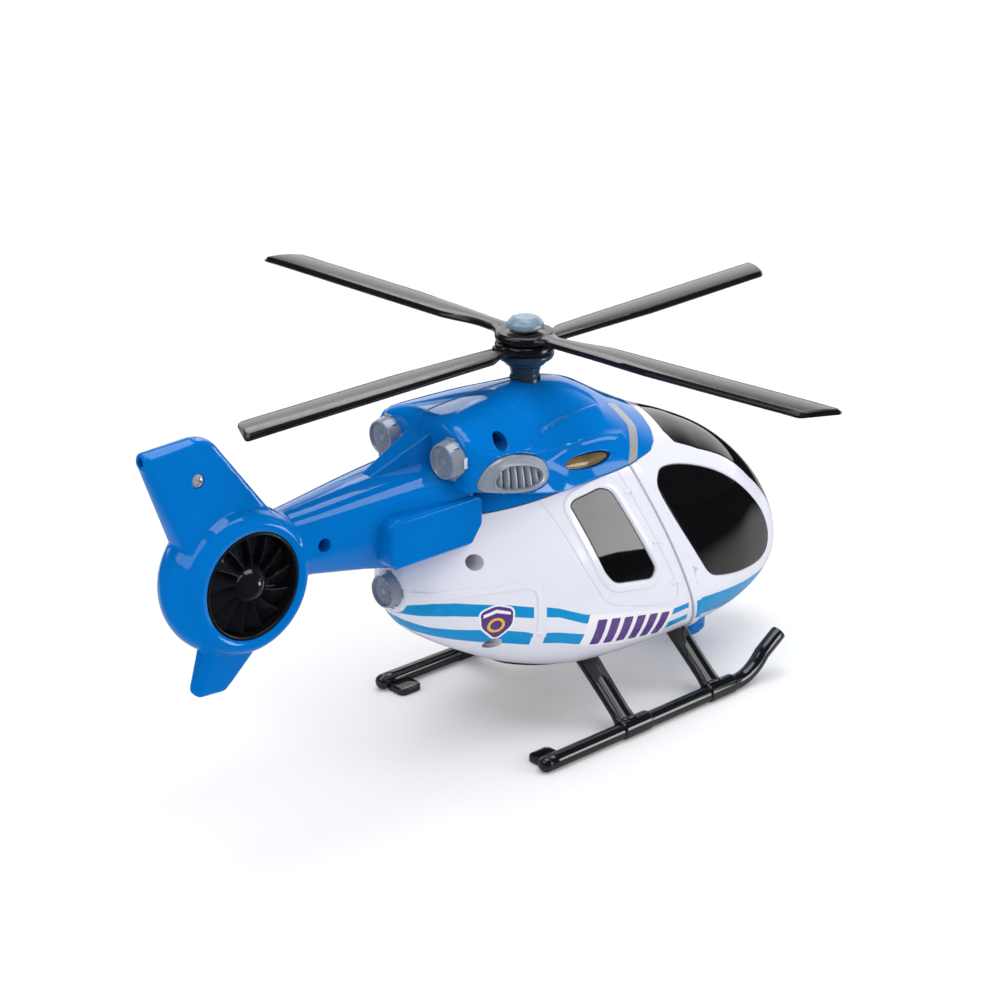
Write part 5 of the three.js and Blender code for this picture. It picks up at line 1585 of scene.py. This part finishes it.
def floor_material():
    """Pale sheet that fades to white in the distance and isn't mirrored beyond the table."""
    mat = bpy.data.materials.new("pale_floor")
    graph = Graph(mat)
    place = graph.add("TexCoord", {}).outputs["Object"]
    ray = graph.add("LightPath", {}).outputs
    distance = graph.add("VectorMath", {0: place}, operation="LENGTH").outputs["Value"]
    far = graph.eased(distance, 0.35, 2.2, FLOOR_NEAR_GLOW, FLOOR_FAR_GLOW)
    paper = graph.add("BsdfDiffuse", {"Color": (0.86, 0.86, 0.865, 1)})
    glow = graph.add("Emission", {"Color": (1, 1, 1, 1), "Strength": graph.times(far, ray["Is Camera Ray"])})
    both = graph.add("AddShader", {0: paper.outputs[0], 1: glow.outputs[0]})
    from_corner = graph.add("VectorMath", {0: place, 1: FLOOR_MIRROR_CENTRE},
                            operation="DISTANCE").outputs["Value"]
    beyond = graph.eased(from_corner, 0.34, 0.47)
    dim = graph.plus(graph.times(beyond, 1 - FLOOR_MIRROR_DIM), FLOOR_MIRROR_DIM)
    dark = graph.add("BsdfDiffuse", {"Color": (0.012, 0.012, 0.014, 1)})
    mirrored = graph.times(dim, ray["Is Glossy Ray"])
    pick = graph.add("MixShader", {0: mirrored, 1: both.outputs[0], 2: dark.outputs[0]})
    graph.add("OutputMaterial", {"Surface": pick.outputs[0]})
    return mat


def world():
    """Even light for diffuse surfaces; glossy ones mirror a dark room with a backdrop behind the toy."""
    studio_world = bpy.data.worlds.new("studio")
    bpy.context.scene.world = studio_world
    graph = Graph(studio_world)
    way = graph.add("SeparateXYZ", {0: graph.add("TexCoord", {}).outputs["Generated"]}).outputs
    ray = graph.add("LightPath", {}).outputs
    turn = math.radians(BACKDROP_TURN)
    ahead = graph.plus(graph.times(way["X"], math.cos(turn)), graph.times(way["Y"], math.sin(turn)))
    band = graph.times(graph.eased(way["Z"], -0.12, 0.0), graph.eased(way["Z"], 0.30, 0.62, 1.0, 0.0))
    backdrop = graph.times(graph.times(graph.eased(ahead, 0.45, 0.8), band), BACKDROP_LEVEL)
    mirrored = graph.plus(backdrop, ROOM_LEVEL)
    plain = graph.times(graph.maths("SUBTRACT", 1.0, ray["Is Glossy Ray"]), WORLD_LEVEL)
    seen = graph.times(ray["Is Camera Ray"], 1 - WORLD_LEVEL)
    total = graph.plus(graph.plus(plain, seen), graph.times(mirrored, ray["Is Glossy Ray"]))
    background = graph.add("Background", {"Color": (1, 1, 1, 1), "Strength": total})
    graph.add("OutputWorld", {"Surface": background.outputs[0]})


def studio():
    s = FLOOR_HALF
    mesh = bpy.data.meshes.new("floor")
    mesh.from_pydata([(-s, -s, 0), (s, -s, 0), (s, s, 0), (-s, s, 0)], [], [(0, 1, 2, 3)])
    mesh.materials.append(floor_material())
    floor = bpy.data.objects.new("floor", mesh)
    bpy.context.scene.collection.objects.link(floor)
    world()
    for name, spot, target, width, height, power in SOFTBOXES:
        lamp = area_light(name, spot, target, width, height, power)
        lamp.visible_glossy = name == "top_softbox"
    for name, spot, target, width, height, power in REFLECTED_CARDS:
        card = area_light(name, spot, target, width, height, power)
        card.visible_diffuse = False


def camera():
    """Long lens from behind and to starboard, a little above the rotor."""
    turn = math.radians(CAMERA_TURN)
    tilt = math.radians(CAMERA_TILT)
    data = bpy.data.cameras.new("camera")
    data.lens = CAMERA_LENS
    data.sensor_width = 36
    data.clip_start = 0.05
    data.clip_end = 100
    cam = bpy.data.objects.new("camera", data)
    bpy.context.scene.collection.objects.link(cam)
    back = Vector((math.sin(turn) * math.cos(tilt), -math.cos(turn) * math.cos(tilt), math.sin(tilt)))
    right = Vector((math.cos(turn), math.sin(turn), 0))
    pose = Matrix((right, back.cross(right), back)).transposed().to_4x4()
    pose.translation = Vector(CAMERA_SPOT) + Vector((HUB_X * 0.001, 0, 0))
    cam.matrix_world = pose
    bpy.context.scene.camera = cam


studio()
camera()
bpy.context.scene.view_settings.view_transform = "Standard"
bpy.context.scene.view_settings.look = "None"
